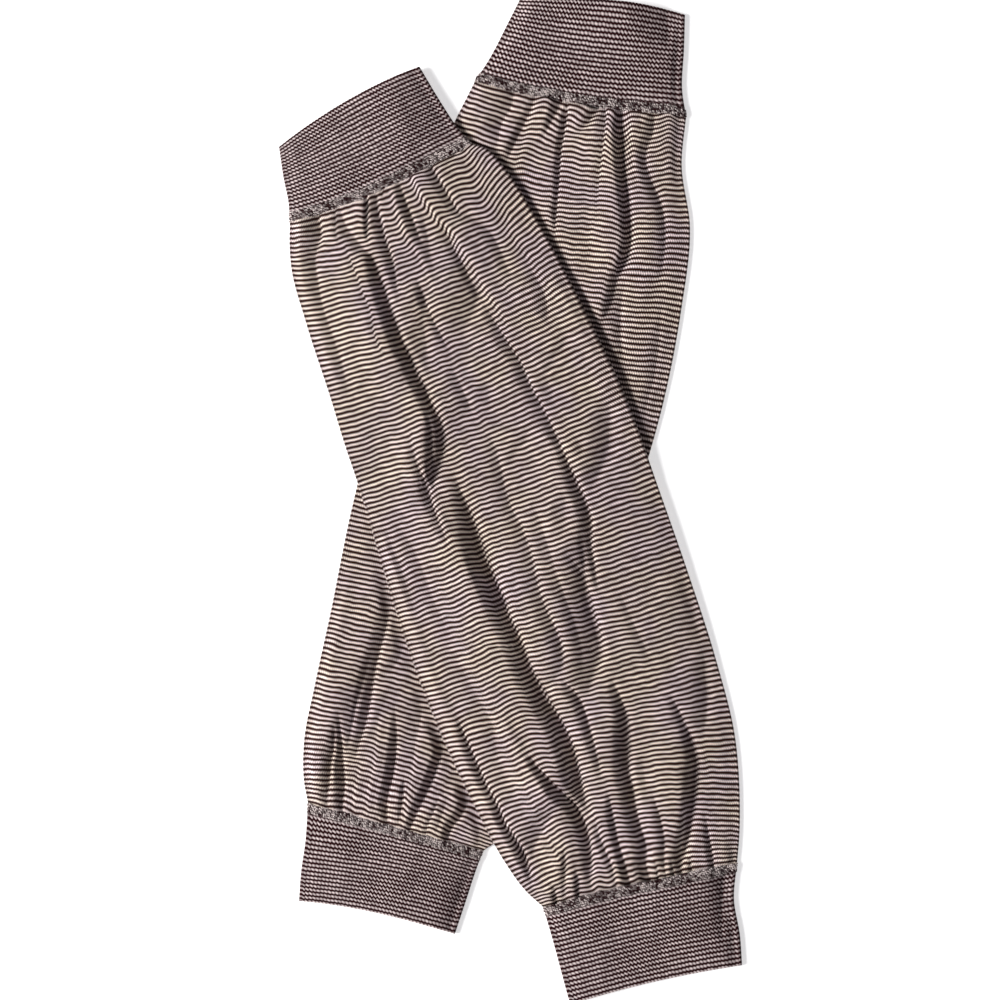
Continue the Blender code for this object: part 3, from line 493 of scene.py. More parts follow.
def foldProfile(kind, beside, drop, width, rise, shape):
    # height across a fold: a face falls to its line, a ridge climbs from it and falls beyond,
    # and a soft one is a low swell, or a trough where its drop is negative
    if kind == "soft":
        span = np.where(beside < 0, 1 + shape["softBend"], 1 - shape["softBend"]) * width
        return drop * np.exp(-(beside / span)**2)
    crest, valley = drop * shape["ridgeShare"], drop * (1 - shape["ridgeShare"])
    if kind == "face":
        onFace = np.clip((beside + width) / width, 0, 1)
        face = crest - drop * onFace**shape["faceBend"]
        behind = crest * np.exp(-((beside + width) / (shape["ridgeReach"] * width))**2)
        beyond = -valley * np.clip(1 - beside / rise, 0, 1)**2
        return np.where(beside < -width, behind, np.where(beside < 0, face, beyond))
    climb = -valley + drop * smoothStep(beside / rise)
    before = -valley * np.exp(-(beside / width)**2)
    after = crest * np.clip(1 - (beside - rise) / width, 0, 1)**(1 / shape["faceBend"])
    return np.where(beside < 0, before, np.where(beside < rise, climb, after))


def foldFields(points, folds, shape):
    # height that the folds add at plan points, and how far they shift the stripes
    flat = points.reshape(-1, 2)
    height, shift = np.zeros(len(flat)), np.zeros(len(flat))
    for kind, sizes, *places in folds:
        drop, fall, rise, slip, dip = (*sizes, 0, 0)[:5]
        drop, slip = drop * shape["boost"], slip * shape["slipBoost"]
        route = smoothRoute(places, shape["spacing"])
        reach = 2 * shape["ridgeReach"] * fall + 3 * shape["slipReach"]
        low, high = route[:, :2].min(axis=0) - reach, route[:, :2].max(axis=0) + reach
        near = np.flatnonzero(((flat > low) & (flat < high)).all(axis=1))
        if not len(near):
            continue
        tangent = np.gradient(route[:, :2], axis=0)
        tangent /= np.hypot(*tangent.T)[:, None]
        normal = np.column_stack([-tangent[:, 1], tangent[:, 0]])
        offset = flat[near][:, None, :] - route[None, :, :2]
        nearest = (offset**2).sum(axis=2).argmin(axis=1)
        offset = offset[np.arange(len(near)), nearest]
        beside = (offset * normal[nearest]).sum(axis=1)
        ahead = (offset * tangent[nearest]).sum(axis=1)
        pastEnd = (nearest == 0) & (ahead < 0) | (nearest == len(route) - 1) & (ahead > 0)
        past = np.where(pastEnd, np.abs(ahead), 0)
        strength = route[nearest, 2] * np.exp(-(past / shape["endReach"])**2)
        least = shape["endWidth"]
        width = fall * (least + (1 - least) * np.minimum(strength, 1))
        height[near] += strength * foldProfile(kind, beside, drop, width, rise, shape)
        sharp = shape["ridgeSharp"] if kind == "ridge" else shape["slipSharp"]
        step = np.tanh(beside / sharp) * np.exp(-np.abs(beside) / shape["slipReach"])
        dipAt = beside + width / 2 if kind == "face" else beside
        dipWide = shape["dipShare"] * width + shape["dipMore"]
        shift[near] += strength * (0.5 * slip * step - dip * np.exp(-(dipAt / dipWide)**2))
    return height.reshape(points.shape[:-1]), shift.reshape(points.shape[:-1])


hiddenLook = {
    "count": 12,             # creases on each underside
    "first": (2, 70),        # where a crease starts, along the body from 0 to 100
    "long": (14, 34),
    "furthest": 98,
    "share": (0.12, 0.88),   # its place across the body
    "drift": (-0.16, 0.16),  # how far it leans across
    "waver": (-0.015, 0.015),
    "inside": (0.06, 0.94),  # no crease comes nearer a side fold
    "strength": (0.6, 1),
    "drop": (0.8, 1.7),
    "fall": (3.5, 6.5),
    "rise": (2, 3.5),
    "slip": 0.2,
}


def hiddenFolds(courses, seed):
    # shallow creases for an underside, along the sleeve, the same on each run
    look = hiddenLook
    rng = np.random.default_rng(seed)
    folds = []
    for _ in range(look["count"]):
        first = rng.uniform(*look["first"])
        last = min(look["furthest"], first + rng.uniform(*look["long"]))
        share = rng.uniform(*look["share"])
        drift = rng.uniform(*look["drift"])
        rows = coursesAt(courses, np.linspace(first, last, 4))
        shares = share + drift * np.linspace(-0.5, 0.5, 4) + rng.uniform(*look["waver"], 4)
        insets = np.clip(shares, *look["inside"]) * courseWidths(rows)
        spots = planPoints(rows, insets[:, None])[:, 0]
        strengths = (0, 1, rng.uniform(*look["strength"]), 0)
        sizes = [rng.uniform(*look[size]) for size in ("drop", "fall", "rise")]
        folds.append(("face", (*sizes, look["slip"]),
                      *[(x, y, strength) for (x, y), strength in zip(spots, strengths)]))
    return folds


# ---- how high each sleeve lies, and how free its upper panel is ----

frontOutline = sleeveOutline(frontCourses)
backOutline = sleeveOutline(backCourses)

standLook = {
    "rightOf": -45.0,   # the edge stands up only right of this x
    "growsOver": 15.0,
    "reach": 13.0,      # how far in from the edge the cloth is lifted
}


def frontLift(points):
    # height of the front sleeve's underside, over the back sleeve and tented down beside it;
    # where its right edge crosses the back sleeve it stands up a little
    beyond = distanceOutside(points, backOutline)
    lifted = smoothStep(1 - (beyond - cloth["tentFlat"]) / cloth["tentSlope"])
    inside = -distanceOutside(points, frontOutline)
    stands = (np.interp(points[..., 1], *np.array(edgeStands).T)
              * smoothStep((points[..., 0] - standLook["rightOf"]) / standLook["growsOver"]))
    return ((cloth["bodyThick"] + cloth["touchGap"]) * lifted
            + stands * np.exp(-(inside / standLook["reach"])**2))


def backLift(points):
    return np.zeros(points.shape[:-1])


def frontFreedom(points):
    return np.ones(points.shape[:-1])


def backFreedom(points):
    # 0 where the front sleeve presses the back one flat
    outside = distanceOutside(points, frontOutline)
    return smoothStep((outside - cloth["pressClear"]) / cloth["pressSlope"])


sleeves = {
    "front": {"courses": frontCourses, "folds": frontFolds, "cuffWaves": frontCuffWaves,
              "hidden": hiddenFolds(frontCourses["body"], seed=11), "rightRoll": frontRightRoll,
              "lift": frontLift, "freedom": frontFreedom,
              "ribs": {"upperCuff": 44, "lowerCuff": 48}},
    "back": {"courses": backCourses, "folds": backFolds, "cuffWaves": backCuffWaves,
             "hidden": hiddenFolds(backCourses["body"], seed=23), "rightRoll": backRightRoll,
             "lift": backLift, "freedom": backFreedom,
             "ribs": {"upperCuff": 44, "lowerCuff": 42}},
}

# ---- the tubes ----

bodyBuild = {
    "rows": 288, "columns": 200, "underColumns": 42, "sidePoints": 7,   # points of the mesh
    "innerStep": 4,      # outer rings to each ring of the inner skin
    "foldTake": 0.7,     # share of the cloth taken up in folds that moves the stripes
    "seamPull": 0.45,    # how far the gathers pull the seam, in shifts of the stripes
    "pullReach": 9.0,    # and how far from the seam the cloth goes with it
}

cuffBuild = {
    "rows": 52, "columns": 193, "underColumns": 193, "sidePoints": 7,
    "hemRings": np.array([0, 0.12, 0.35, 0.7]),   # rings round the edge of the hem, in mm
    "innerStep": 4,
    "seamPull": 0.45,
    "pullReach": 6.0,
    "ribDepth": 0.22,
    "ribNear": 1.5, "ribLeast": 0.2,   # how the ribs fade towards a side fold
    "seamRipple": 0.35,      # share of the body's gathers that goes on into the cuff
    "rippleRange": (-1.0, 2.5),
    "bandHigh": 0.35,        # how far the cuff swells under its seam
    "bandShare": 0.42,       # half the width of that swell, in seam heights
    "hemRound": 1.0, "hemDraw": 0.9,   # how far in the hem is rounded, and how fully
}


def placesAlong(length, build, isBody):
    # where the rings stand, 0 to 100: a cuff has more of them round the edge of its hem
    if isBody:
        return np.linspace(0, 100, build["rows"] + 1)
    edge = build["hemRings"] / length * 100
    return np.concatenate([edge, np.linspace(edge[-1], 100, build["rows"] + 1)[1:]])


def tubeShell(sleeve, part, build):
    # outer and inner skins of one flattened tube, as arrays of rings of points
    courses = sleeve["courses"][part]
    isBody, isUpper = part == "body", part == "upperCuff"
    kind = "body" if isBody else "cuff"
    thick, wall, side = cloth[kind + "Thick"], cloth[kind + "Wall"], cloth[kind + "Fold"]
    rows = coursesAt(courses, np.linspace(0, 100, measureRows))
    length = np.hypot(*np.diff((rows[:, 0:2] + rows[:, 3:5]) / 2, axis=0).T).sum()
    alongs = placesAlong(length, build, isBody)
    if part == "lowerCuff":
        alongs = 100 - alongs[::-1]
    rows = coursesAt(courses, alongs)
    widths = courseWidths(rows)[:, None]
    sides, top = build["sidePoints"], build["columns"]
    onTop, under = slice(sides, sides + top), slice(2 * sides + top, None)
    angles = np.radians(np.linspace(*cloth["foldArc"], sides))
    across = np.linspace(0, 1, top)[None, :]
    back = np.linspace(1, 0, build["underColumns"])[None, :]
    left = right = np.full((len(rows), 1), side)
    if isBody:
        right = np.interp(alongs, *np.array(sleeve["rightRoll"]).T)[:, None]
    upper = left + across * (widths - left - right)
    lower = left + back * (widths - left - right)

    def skinRings(inside):
        # plan of a skin this far inside the outer one, and its height round each side fold
        leftIn, rightIn = (s + (s - inside) * np.cos(angles) for s in (left, right))
        leftHigh, rightHigh = (s - (s - inside) * np.sin(angles) for s in (left, right))
        insets = np.hstack([leftIn, upper, widths - rightIn[:, ::-1], lower])
        return planPoints(rows, insets), leftHigh, rightHigh[:, ::-1]

    plan, leftHigh, rightHigh = skinRings(0)
    innerPlan, leftInner, rightInner = skinRings(wall)
    lift = sleeve["lift"](plan)

    # upper panel: puff and folds
    fromSide = np.minimum(upper - left, widths - right - upper)
    roll = np.where(upper < widths / 2, left, right)
    opened = 2 * roll + (thick - 2 * roll) * smoothStep(fromSide / (cloth["foldOpens"] * roll / side))
    swell = cloth[kind + "Puff"] * smoothStep(fromSide / cloth["puffReach"])
    free = sleeve["freedom"](plan[:, onTop])
    sideFade = smoothStep(fromSide / cloth["fadeNear"])
    folded, shifted = foldFields(plan[:, onTop], sleeve["folds"], foldShape)
    shift = np.zeros(plan.shape[:2])
    if isBody:
        risen = opened + np.maximum((swell + sideFade * folded) * free, -cloth["bodyDent"])
        shift[:, onTop] = shifted * free
        creases, _ = foldFields(plan[:, under], sleeve["hidden"], foldShape)
        edge = np.minimum(lower - left, widths - right - lower)
        creases = np.clip(creases, 0, cloth["creaseHigh"]) * smoothStep(edge / cloth["creaseNear"])
    else:
        ribWave = 0.5 - 0.5 * np.cos(2 * math.pi * sleeve["ribs"][part] * across)
        waves, _ = foldFields(plan[:, onTop], sleeve["cuffWaves"], foldShape)
        risen = opened + (swell + sideFade * np.maximum(waves, -cloth["cuffDent"])) * free
        risen -= build["ribDepth"] * ribWave * smoothStep(fromSide / build["ribNear"] + build["ribLeast"])
        creases = np.zeros(lower.shape)

    # the gathers pull the seam up and down, and the cloth beside it goes with it
    flatSteps = np.linalg.norm(np.diff(plan, axis=0), axis=2)
    flatWay = np.vstack([np.zeros(plan.shape[1]), np.cumsum(flatSteps, axis=0)])
    down = np.gradient(plan, axis=0)
    down /= np.maximum(np.linalg.norm(down, axis=2, keepdims=True), 1e-6)
    pulled = np.zeros(plan.shape[:2])
    ends = (0, -1) if isBody else ((-1,) if isUpper else (0,))
    for end in ends:
        pull = shifted[end] * free[end] * sideFade[end] * cloth["stripePitch"] * build["seamPull"]
        fromSeam = np.abs(flatWay[:, onTop] - flatWay[end, onTop])
        pulled[:, onTop] += pull * np.exp(-(fromSeam / build["pullReach"]))
        if not isBody:
            ripple = sideFade[end] * np.clip(folded[end], *build["rippleRange"]) * build["seamRipple"]
            risen += free * ripple * np.exp(-(fromSeam / build["pullReach"])**2)
            offMiddle = (fromSeam - cloth["seamBand"] / 2) / (cloth["seamBand"] * build["bandShare"])
            risen += build["bandHigh"] * np.exp(-offMiddle**4)
    plan = plan - down * pulled[..., None]
    innerPlan = innerPlan - down * pulled[..., None]
    if isBody:
        shift -= pulled / cloth["stripePitch"]

    # the skins: the inner one follows the lowest of the rings near it
    step = build["innerStep"]
    kept = np.arange(0, len(rows), step)
    if kept[-1] != len(rows) - 1:
        kept = np.append(kept, len(rows) - 1)
    innerRisen = risen.copy()
    for k in range(1, step):
        innerRisen[k:] = np.minimum(innerRisen[k:], risen[:-k])
        innerRisen[:-k] = np.minimum(innerRisen[:-k], risen[k:])
    heights = np.hstack([leftHigh, risen, rightHigh, creases])
    inner = np.hstack([leftInner, innerRisen - wall, rightInner, creases + wall])
    if not isBody:
        # the hem's edge is rounded
        fromHem = flatWay if isUpper else flatWay[-1] - flatWay
        rounded = 1 - np.sqrt(np.clip(1 - (1 - np.clip(fromHem / build["hemRound"], 0, 1))**2, 0, 1))
        middle = (heights + inner) / 2
        heights += (middle - heights) * rounded * build["hemDraw"]
    return np.dstack([plan, heights + lift]), np.dstack([innerPlan, inner + lift])[kept], kept, shift, flatWay


def newObject(name, data):
    made = bpy.data.objects.new(name, data)
    bpy.context.scene.collection.objects.link(made)
    return made


def tubeMesh(name, sleeve, part, build, material):
    outer, inner, kept, shift, flatWay = tubeShell(sleeve, part, build)
    isBody = part == "body"
    rowCount, ringCount = outer.shape[:2]
    way = (flatWay.mean(axis=1) / flatWay[-1].mean())[:, None]
    sides, top = build["sidePoints"], build["columns"]
    share = np.concatenate([np.zeros(sides), np.linspace(0, 1, top), np.ones(sides),
                            np.linspace(1, 2, build["underColumns"])])
    if isBody:
        realSteps = np.linalg.norm(np.diff(outer, axis=0), axis=2)
        extra = np.vstack([np.zeros(ringCount), np.cumsum(realSteps, axis=0)]) - flatWay
        extra -= extra[-1] * way
        courseAt = cloth["stripes"] * way + build["foldTake"] * extra / cloth["stripePitch"] + shift
        around = cloth["bodyWales"]
    else:
        # rows are counted from the seam, upwards in an upper cuff
        courseAt = cloth["ribRows"] * (way - (part == "upperCuff")) + np.zeros((1, ringCount))
        around = sleeve["ribs"][part]
    knit = np.dstack([share * around + np.zeros((rowCount, 1)), courseAt])
    points = np.vstack([outer.reshape(-1, 3), inner.reshape(-1, 3)]) * mm
    uvOf = np.vstack([knit.reshape(-1, 2), knit[kept].reshape(-1, 2)])
    base = rowCount * ringCount
    outerAt = np.arange(base).reshape(rowCount, ringCount)
    innerAt = base + np.arange(len(kept) * ringCount).reshape(len(kept), ringCount)

    def strips(first, second):
        # quads between two rows of rings, corner order as the outer skin's
        before = np.roll(first, 1, axis=1), np.roll(second, 1, axis=1)
        return np.stack([before[0], before[1], second, first], axis=2).reshape(-1, 4)

    faces = np.vstack([
        strips(outerAt[:-1], outerAt[1:]), strips(innerAt[1:], innerAt[:-1]),
        strips(innerAt[:1], outerAt[:1]), strips(outerAt[-1:], innerAt[-1:])])
    mesh = bpy.data.meshes.new(name)
    mesh.vertices.add(len(points))
    mesh.vertices.foreach_set("co", points.ravel())
    mesh.loops.add(faces.size)
    mesh.loops.foreach_set("vertex_index", faces.ravel())
    mesh.polygons.add(len(faces))
    mesh.polygons.foreach_set("loop_start", np.arange(0, faces.size, 4))
    mesh.update(calc_edges=True)
    cornerUv = uvOf[faces].copy()
    # across the ring's join the wale count goes on from the last point, not back to nought
    wales = cornerUv[..., 0]
    joins = (wales.max(axis=1) - wales.min(axis=1)) > around
    wales[joins] = np.where(wales[joins] < around, wales[joins] + 2 * around, wales[joins])
    layer = mesh.uv_layers.new(name="knit")
    layer.data.foreach_set("uv", cornerUv.reshape(-1, 2).ravel())
    mesh.shade_smooth()
    mesh.materials.append(material)
    mesh.validate()
    return newObject(name, mesh), outer, flatWay


# ---- materials ----

def colour(hexCode):
    # sRGB hex to linear
    channels = [int(hexCode[k:k + 2], 16) / 255 for k in (0, 2, 4)]
    return tuple(c / 12.92 if c <= 0.04045 else ((c + 0.055) / 1.055)**2.4 for c in channels) + (1.0,)


def addNode(tree, kind, *inputs, **settings):
    # a node with its settings; the inputs come in order or as one dictionary, and each takes
    # a plain value, a socket or a node's first output
    node = tree.nodes.new(kind)
    for key, value in settings.items():
        setattr(node, key, value)
    byKey = inputs[0] if inputs and isinstance(inputs[0], dict) else dict(enumerate(inputs))
    for key, value in byKey.items():
        if isinstance(value, bpy.types.Node):
            value = value.outputs[0]
        if isinstance(value, bpy.types.NodeSocket):
            tree.links.new(value, node.inputs[key])
        else:
            node.inputs[key].default_value = value
    return node


def newMaterial(name):
    material = bpy.data.materials.new(name)
    material.use_nodes = True
    material.node_tree.nodes.clear()
    return material, material.node_tree


def patchesOver(tree, place, patches):
    # soft noise over the knit, one pattern for each scale round and along the tube, and detail
    made = []
    for aroundScale, alongScale, detail in patches:
        at = addNode(tree, "ShaderNodeVectorMath", place, (aroundScale, alongScale, 0), operation="MULTIPLY")
        made.append(addNode(tree, "ShaderNodeTexNoise", {"Vector": at, "Scale": 1.0, "Detail": detail},
                            noise_dimensions="2D"))
    return made


def yarnSkin(tree, light, darkYarn, lightYarn, relief, surface):
    # the two yarns mixed by how light each place is, in relief
    shown = addNode(tree, "ShaderNodeMix", {0: light, 6: darkYarn, 7: lightYarn}, data_type="RGBA")
    bump = addNode(tree, "ShaderNodeBump", relief)
    skin = addNode(tree, "ShaderNodeBsdfPrincipled",
                   {"Base Color": shown.outputs[2], "Normal": bump, **surface})
    addNode(tree, "ShaderNodeOutputMaterial", skin)


stripedLook = {
    "lightWarm": "ebd9ca", "lightCool": "e2cfcf", "dark": "260c08",
    "lightFrom": 0.91, "lightFull": 0.09, "lightPower": 1.95,   # shape of a light stripe
    "drift": 0.45,       # slow wander of the stripes, in stripes
    "waver": 0.05,       # quick wander, stitch by stitch
    "stitchWide": 1.25,  # wales, drawn a little coarser than knitted so that it shows
    "stitchShade": 0.4,
    "stitchSteps": 0.05,  # how far each stitch steps out of its stripe, in stripes
    "stitchLean": 0.8,   # how far a stitch leans over its stripe, in stitches
    "rowShade": (0.7, 0.62),    # how much lighter one stripe is than another, and the least
    "rowScale": (0.16, 7.3),    # along a stripe, and from stripe to stripe
    "patches": ((0.055, 0.11, 2.0), (0.30, 0.7, 1.0), (0.035, 0.09, 2.0)),   # drift, waver, tint
    "patchRange": (0.35, 0.65),
}

ribLook = {
    "light": "f4e1df", "dark": "26070a", "band": "d8cbc7",
    "sawtooth": (0.07, 0.19),   # how far a stitch leans out of its row, in rows
    "thick": (0.30, 0.37), "core": 0.05,
    "nudge": 0.30,       # how far the grain shifts a stitch
    "stitchHighlight": (-0.36, 0.64),      # painted highlight on a stitch's middle and painted shade at its ends, and its mean
    "level": (0.45, 0.76),      # how much lighter one stitch is than another, and the least
    "seamRows": 2.15,    # rows that the linked seam covers
    "seamBlur": 0.25,
    "mottle": (0.45, 0.75, 0.3),   # where the broken rows start and end, and how light they are
    "patches": ((0.5, 0.4, 2.0), (0.07, 0.12, 1.0), (1.9, 2.4, 2.0)),   # grain, tautness, mottle
    "patchRange": (0.35, 0.65),
}


def stripedJersey():
    # Plain jersey of two cotton yarns, knitted in turn on a round machine: soft matt
    # stripes with rounded edges, and in each light one the slant of its stitches.
    look = stripedLook
    material, tree = newMaterial("stripedJerseyKnit")
    place = addNode(tree, "ShaderNodeUVMap", uv_map="knit")
    spot = addNode(tree, "ShaderNodeSeparateXYZ", place)
    wale, course = spot.outputs[0], spot.outputs[1]
    slow, quick, tint = patchesOver(tree, place, look["patches"])
    drifted = addNode(tree, "ShaderNodeMath", slow, look["drift"] * 2, course, operation="MULTIPLY_ADD")
    wavered = addNode(tree, "ShaderNodeMath", quick, look["waver"] * 2, drifted, operation="MULTIPLY_ADD")
    stepTurns = addNode(tree, "ShaderNodeMath", wale, 2 * math.pi / look["stitchWide"], operation="MULTIPLY")
    steps = addNode(tree, "ShaderNodeMath", stepTurns, operation="SINE")
    wavy = addNode(tree, "ShaderNodeMath", steps, look["stitchSteps"], wavered, operation="MULTIPLY_ADD")
    # how light the stripe is, from its dark edge to its middle
    phase = addNode(tree, "ShaderNodeMath", wavy, operation="FRACT")
    offset = addNode(tree, "ShaderNodeMath", phase, 0.5, operation="SUBTRACT")
    away = addNode(tree, "ShaderNodeMath", offset, -2.0, operation="MULTIPLY")
    away = addNode(tree, "ShaderNodeMath", away, operation="ABSOLUTE")
    profile = addNode(tree, "ShaderNodeMapRange", away, look["lightFrom"], look["lightFull"], 0.0, 1.0,
                      interpolation_type="SMOOTHSTEP")
    light = addNode(tree, "ShaderNodeMath", profile, look["lightPower"], operation="POWER")
    # each stripe is a little lighter or darker along its own length
    row = addNode(tree, "ShaderNodeMath", wavy, operation="FLOOR")
    rowAt = addNode(tree, "ShaderNodeCombineXYZ",
                    addNode(tree, "ShaderNodeMath", wale, look["rowScale"][0], operation="MULTIPLY"),
                    addNode(tree, "ShaderNodeMath", row, look["rowScale"][1], operation="MULTIPLY"))
    rowShade = addNode(tree, "ShaderNodeTexNoise", {"Vector": rowAt, "Scale": 1.0, "Detail": 1.0},
                       noise_dimensions="2D")
    base = addNode(tree, "ShaderNodeMath", rowShade, *look["rowShade"], operation="MULTIPLY_ADD")
    # the slant of the stitches
    slant = addNode(tree, "ShaderNodeMath", phase, -look["stitchLean"], operation="MULTIPLY")
    stitchAt = addNode(tree, "ShaderNodeMath", wale, 1 / look["stitchWide"], slant,
                       operation="MULTIPLY_ADD")
    turns = addNode(tree, "ShaderNodeMath", stitchAt, 2 * math.pi, operation="MULTIPLY")
    stitch = addNode(tree, "ShaderNodeMath", turns, operation="SINE")
    shade = addNode(tree, "ShaderNodeMath", stitch, look["stitchShade"], base, operation="MULTIPLY_ADD")
    # tint changes slowly from place to place
    tintShare = addNode(tree, "ShaderNodeMapRange", tint, *look["patchRange"])
    yarn = addNode(tree, "ShaderNodeMix", {0: tintShare, 6: colour(look["lightWarm"]),
                   7: colour(look["lightCool"])}, data_type="RGBA")
    shaded = addNode(tree, "ShaderNodeVectorMath", {0: yarn.outputs[2], "Scale": shade}, operation="SCALE")
    relief = addNode(tree, "ShaderNodeMath", stitch, 0.15, profile, operation="MULTIPLY_ADD")
    yarnSkin(tree, light, colour(look["dark"]), shaded,
             {"Strength": 0.3, "Distance": 0.0004, "Height": relief},
             {"Roughness": 0.88, "Specular IOR Level": 0.07, "Sheen Weight": 0.02})
    return material


def ribbedKnit():
    # Rib of the same two yarns, knitted tight: rows like twisted cord, each stitch
    # leaning out of its row, with a painted highlight on its middle, joined to the next by a neck in painted
    # shade, with dark between.
    look = ribLook
    material, tree = newMaterial("ribbedCuffKnit")
    place = addNode(tree, "ShaderNodeUVMap", uv_map="knit")
    grain, taut, mottle = patchesOver(tree, place, look["patches"])
    nudge = addNode(tree, "ShaderNodeVectorMath", grain.outputs[1], (look["nudge"], look["nudge"], 0), place,
                    operation="MULTIPLY_ADD")
    cell = addNode(tree, "ShaderNodeVectorMath", nudge, operation="FLOOR")
    inCell = addNode(tree, "ShaderNodeVectorMath", nudge, operation="FRACTION")
    spot = addNode(tree, "ShaderNodeSeparateXYZ", inCell)
    # the strand's middle leans up and down in a rounded sawtooth
    turns = addNode(tree, "ShaderNodeMath", spot.outputs[0], 2 * math.pi, operation="MULTIPLY")
    wave = addNode(tree, "ShaderNodeMath", turns, operation="SINE")
    doubled = addNode(tree, "ShaderNodeMath", turns, 2.0, operation="MULTIPLY")
    wave2 = addNode(tree, "ShaderNodeMath", doubled, operation="SINE")
    lean = addNode(tree, "ShaderNodeMath", wave2, 0.25, wave, operation="MULTIPLY_ADD")
    middle = addNode(tree, "ShaderNodeMath", spot.outputs[1], 0.5, operation="SUBTRACT")
    tooth = addNode(tree, "ShaderNodeMapRange", taut, *look["patchRange"], *look["sawtooth"])
    off = addNode(tree, "ShaderNodeMath", lean, tooth, middle, operation="MULTIPLY_ADD")
    offSize = addNode(tree, "ShaderNodeMath", off, operation="ABSOLUTE")
    thick = addNode(tree, "ShaderNodeMapRange", taut, *look["patchRange"], *look["thick"][::-1])
    strand = addNode(tree, "ShaderNodeMapRange", offSize, thick, look["core"], 0.0, 1.0,
                     interpolation_type="SMOOTHSTEP")
    # each stitch gets a painted highlight on its middle and painted shade at its ends, and is a little
    # lighter or darker than the next
    swell = addNode(tree, "ShaderNodeMath", turns, operation="COSINE")
    stitchHighlight = addNode(tree, "ShaderNodeMath", swell, *look["stitchHighlight"], operation="MULTIPLY_ADD")
    chance = addNode(tree, "ShaderNodeTexWhiteNoise", {"Vector": cell}, noise_dimensions="2D")
    level = addNode(tree, "ShaderNodeMath", chance, *look["level"], operation="MULTIPLY_ADD")
    lit = addNode(tree, "ShaderNodeMath", stitchHighlight, level, operation="MULTIPLY")
    knit = addNode(tree, "ShaderNodeMath", strand, lit, operation="MULTIPLY", use_clamp=True)
    # under the linked seam the rows break up
    rowNow = addNode(tree, "ShaderNodeSeparateXYZ", place)
    fromSeam = addNode(tree, "ShaderNodeMath", rowNow.outputs[1], operation="ABSOLUTE")
    bandIn = addNode(tree, "ShaderNodeMapRange", fromSeam, look["seamRows"] + look["seamBlur"],
                     look["seamRows"] - look["seamBlur"], 0.0, 1.0)
    mottleFrom, mottleTo, mottleLight = look["mottle"]
    mottled = addNode(tree, "ShaderNodeMapRange", mottle, mottleFrom, mottleTo, 0.0, mottleLight)
    amount = addNode(tree, "ShaderNodeMix", {0: bandIn, 2: knit, 3: mottled})
    yarnSkin(tree, amount, colour(look["dark"]), colour(look["light"]),
             {"Strength": 0.35, "Distance": 0.0005, "Height": amount},
             {"Roughness": 0.88, "Specular IOR Level": 0.06, "Sheen Weight": 0.02})
    return material


threadLook = {
    "clumpScale": 190.0,     # to the metre, so clumps are about 5 mm across
    "clump": (1.7, -0.82),   # how much the clumps change a stitch's shade, and what's added
    "shadeRange": (0.2, 1.0),
    "twistScale": 2500.0,    # the yarn's twist, 0.4 mm
}


def linkingThread():
    # Linking stitches of both yarns, spun cotton: short matt strokes, light and dark mixed.
    look = threadLook
    material, tree = newMaterial("linkingThread")
    shade = addNode(tree, "ShaderNodeAttribute", attribute_name="yarnShade")
    place = addNode(tree, "ShaderNodeTexCoord").outputs["Object"]
    clump = addNode(tree, "ShaderNodeTexNoise", {"Vector": place, "Scale": look["clumpScale"], "Detail": 1.0})
    clumped = addNode(tree, "ShaderNodeMath", clump, *look["clump"], operation="MULTIPLY_ADD")
    mixed = addNode(tree, "ShaderNodeMath", shade.outputs[2], clumped, operation="ADD")
    light = addNode(tree, "ShaderNodeMapRange", mixed, *look["shadeRange"])
    twist = addNode(tree, "ShaderNodeTexNoise", {"Vector": place, "Scale": look["twistScale"]})
    yarnSkin(tree, light, colour(ribLook["dark"]), colour(ribLook["band"]),
             {"Strength": 0.3, "Distance": 0.0002, "Height": twist},
             {"Roughness": 0.9, "Specular IOR Level": 0.2})
    return material


# ---- the linked seams ----

seamLook = {
    "pitch": 1.15,         # mm from stitch to stitch along a row
    "long": 1.5,
    "thick": 0.85,
    "scatter": 0.3,
    "lean": -36.0,         # degrees out of the row
    "leanSpread": 20.0,
    "seed": 5,
    "moveSeeds": (11, 12),
    "shadeSeed": 13,
    "shades": (0.12, 1.05),   # of the darkest stitch and the lightest one
    "rowsAt": (0.3, 1.35, 2.4, 3.45, 4.5),   # mm from the body's edge
    "standOff": 0.08,      # mm from the cuff's skin to a stitch's middle
    "lowest": 0.15,        # mm from the surface below, at the least
}


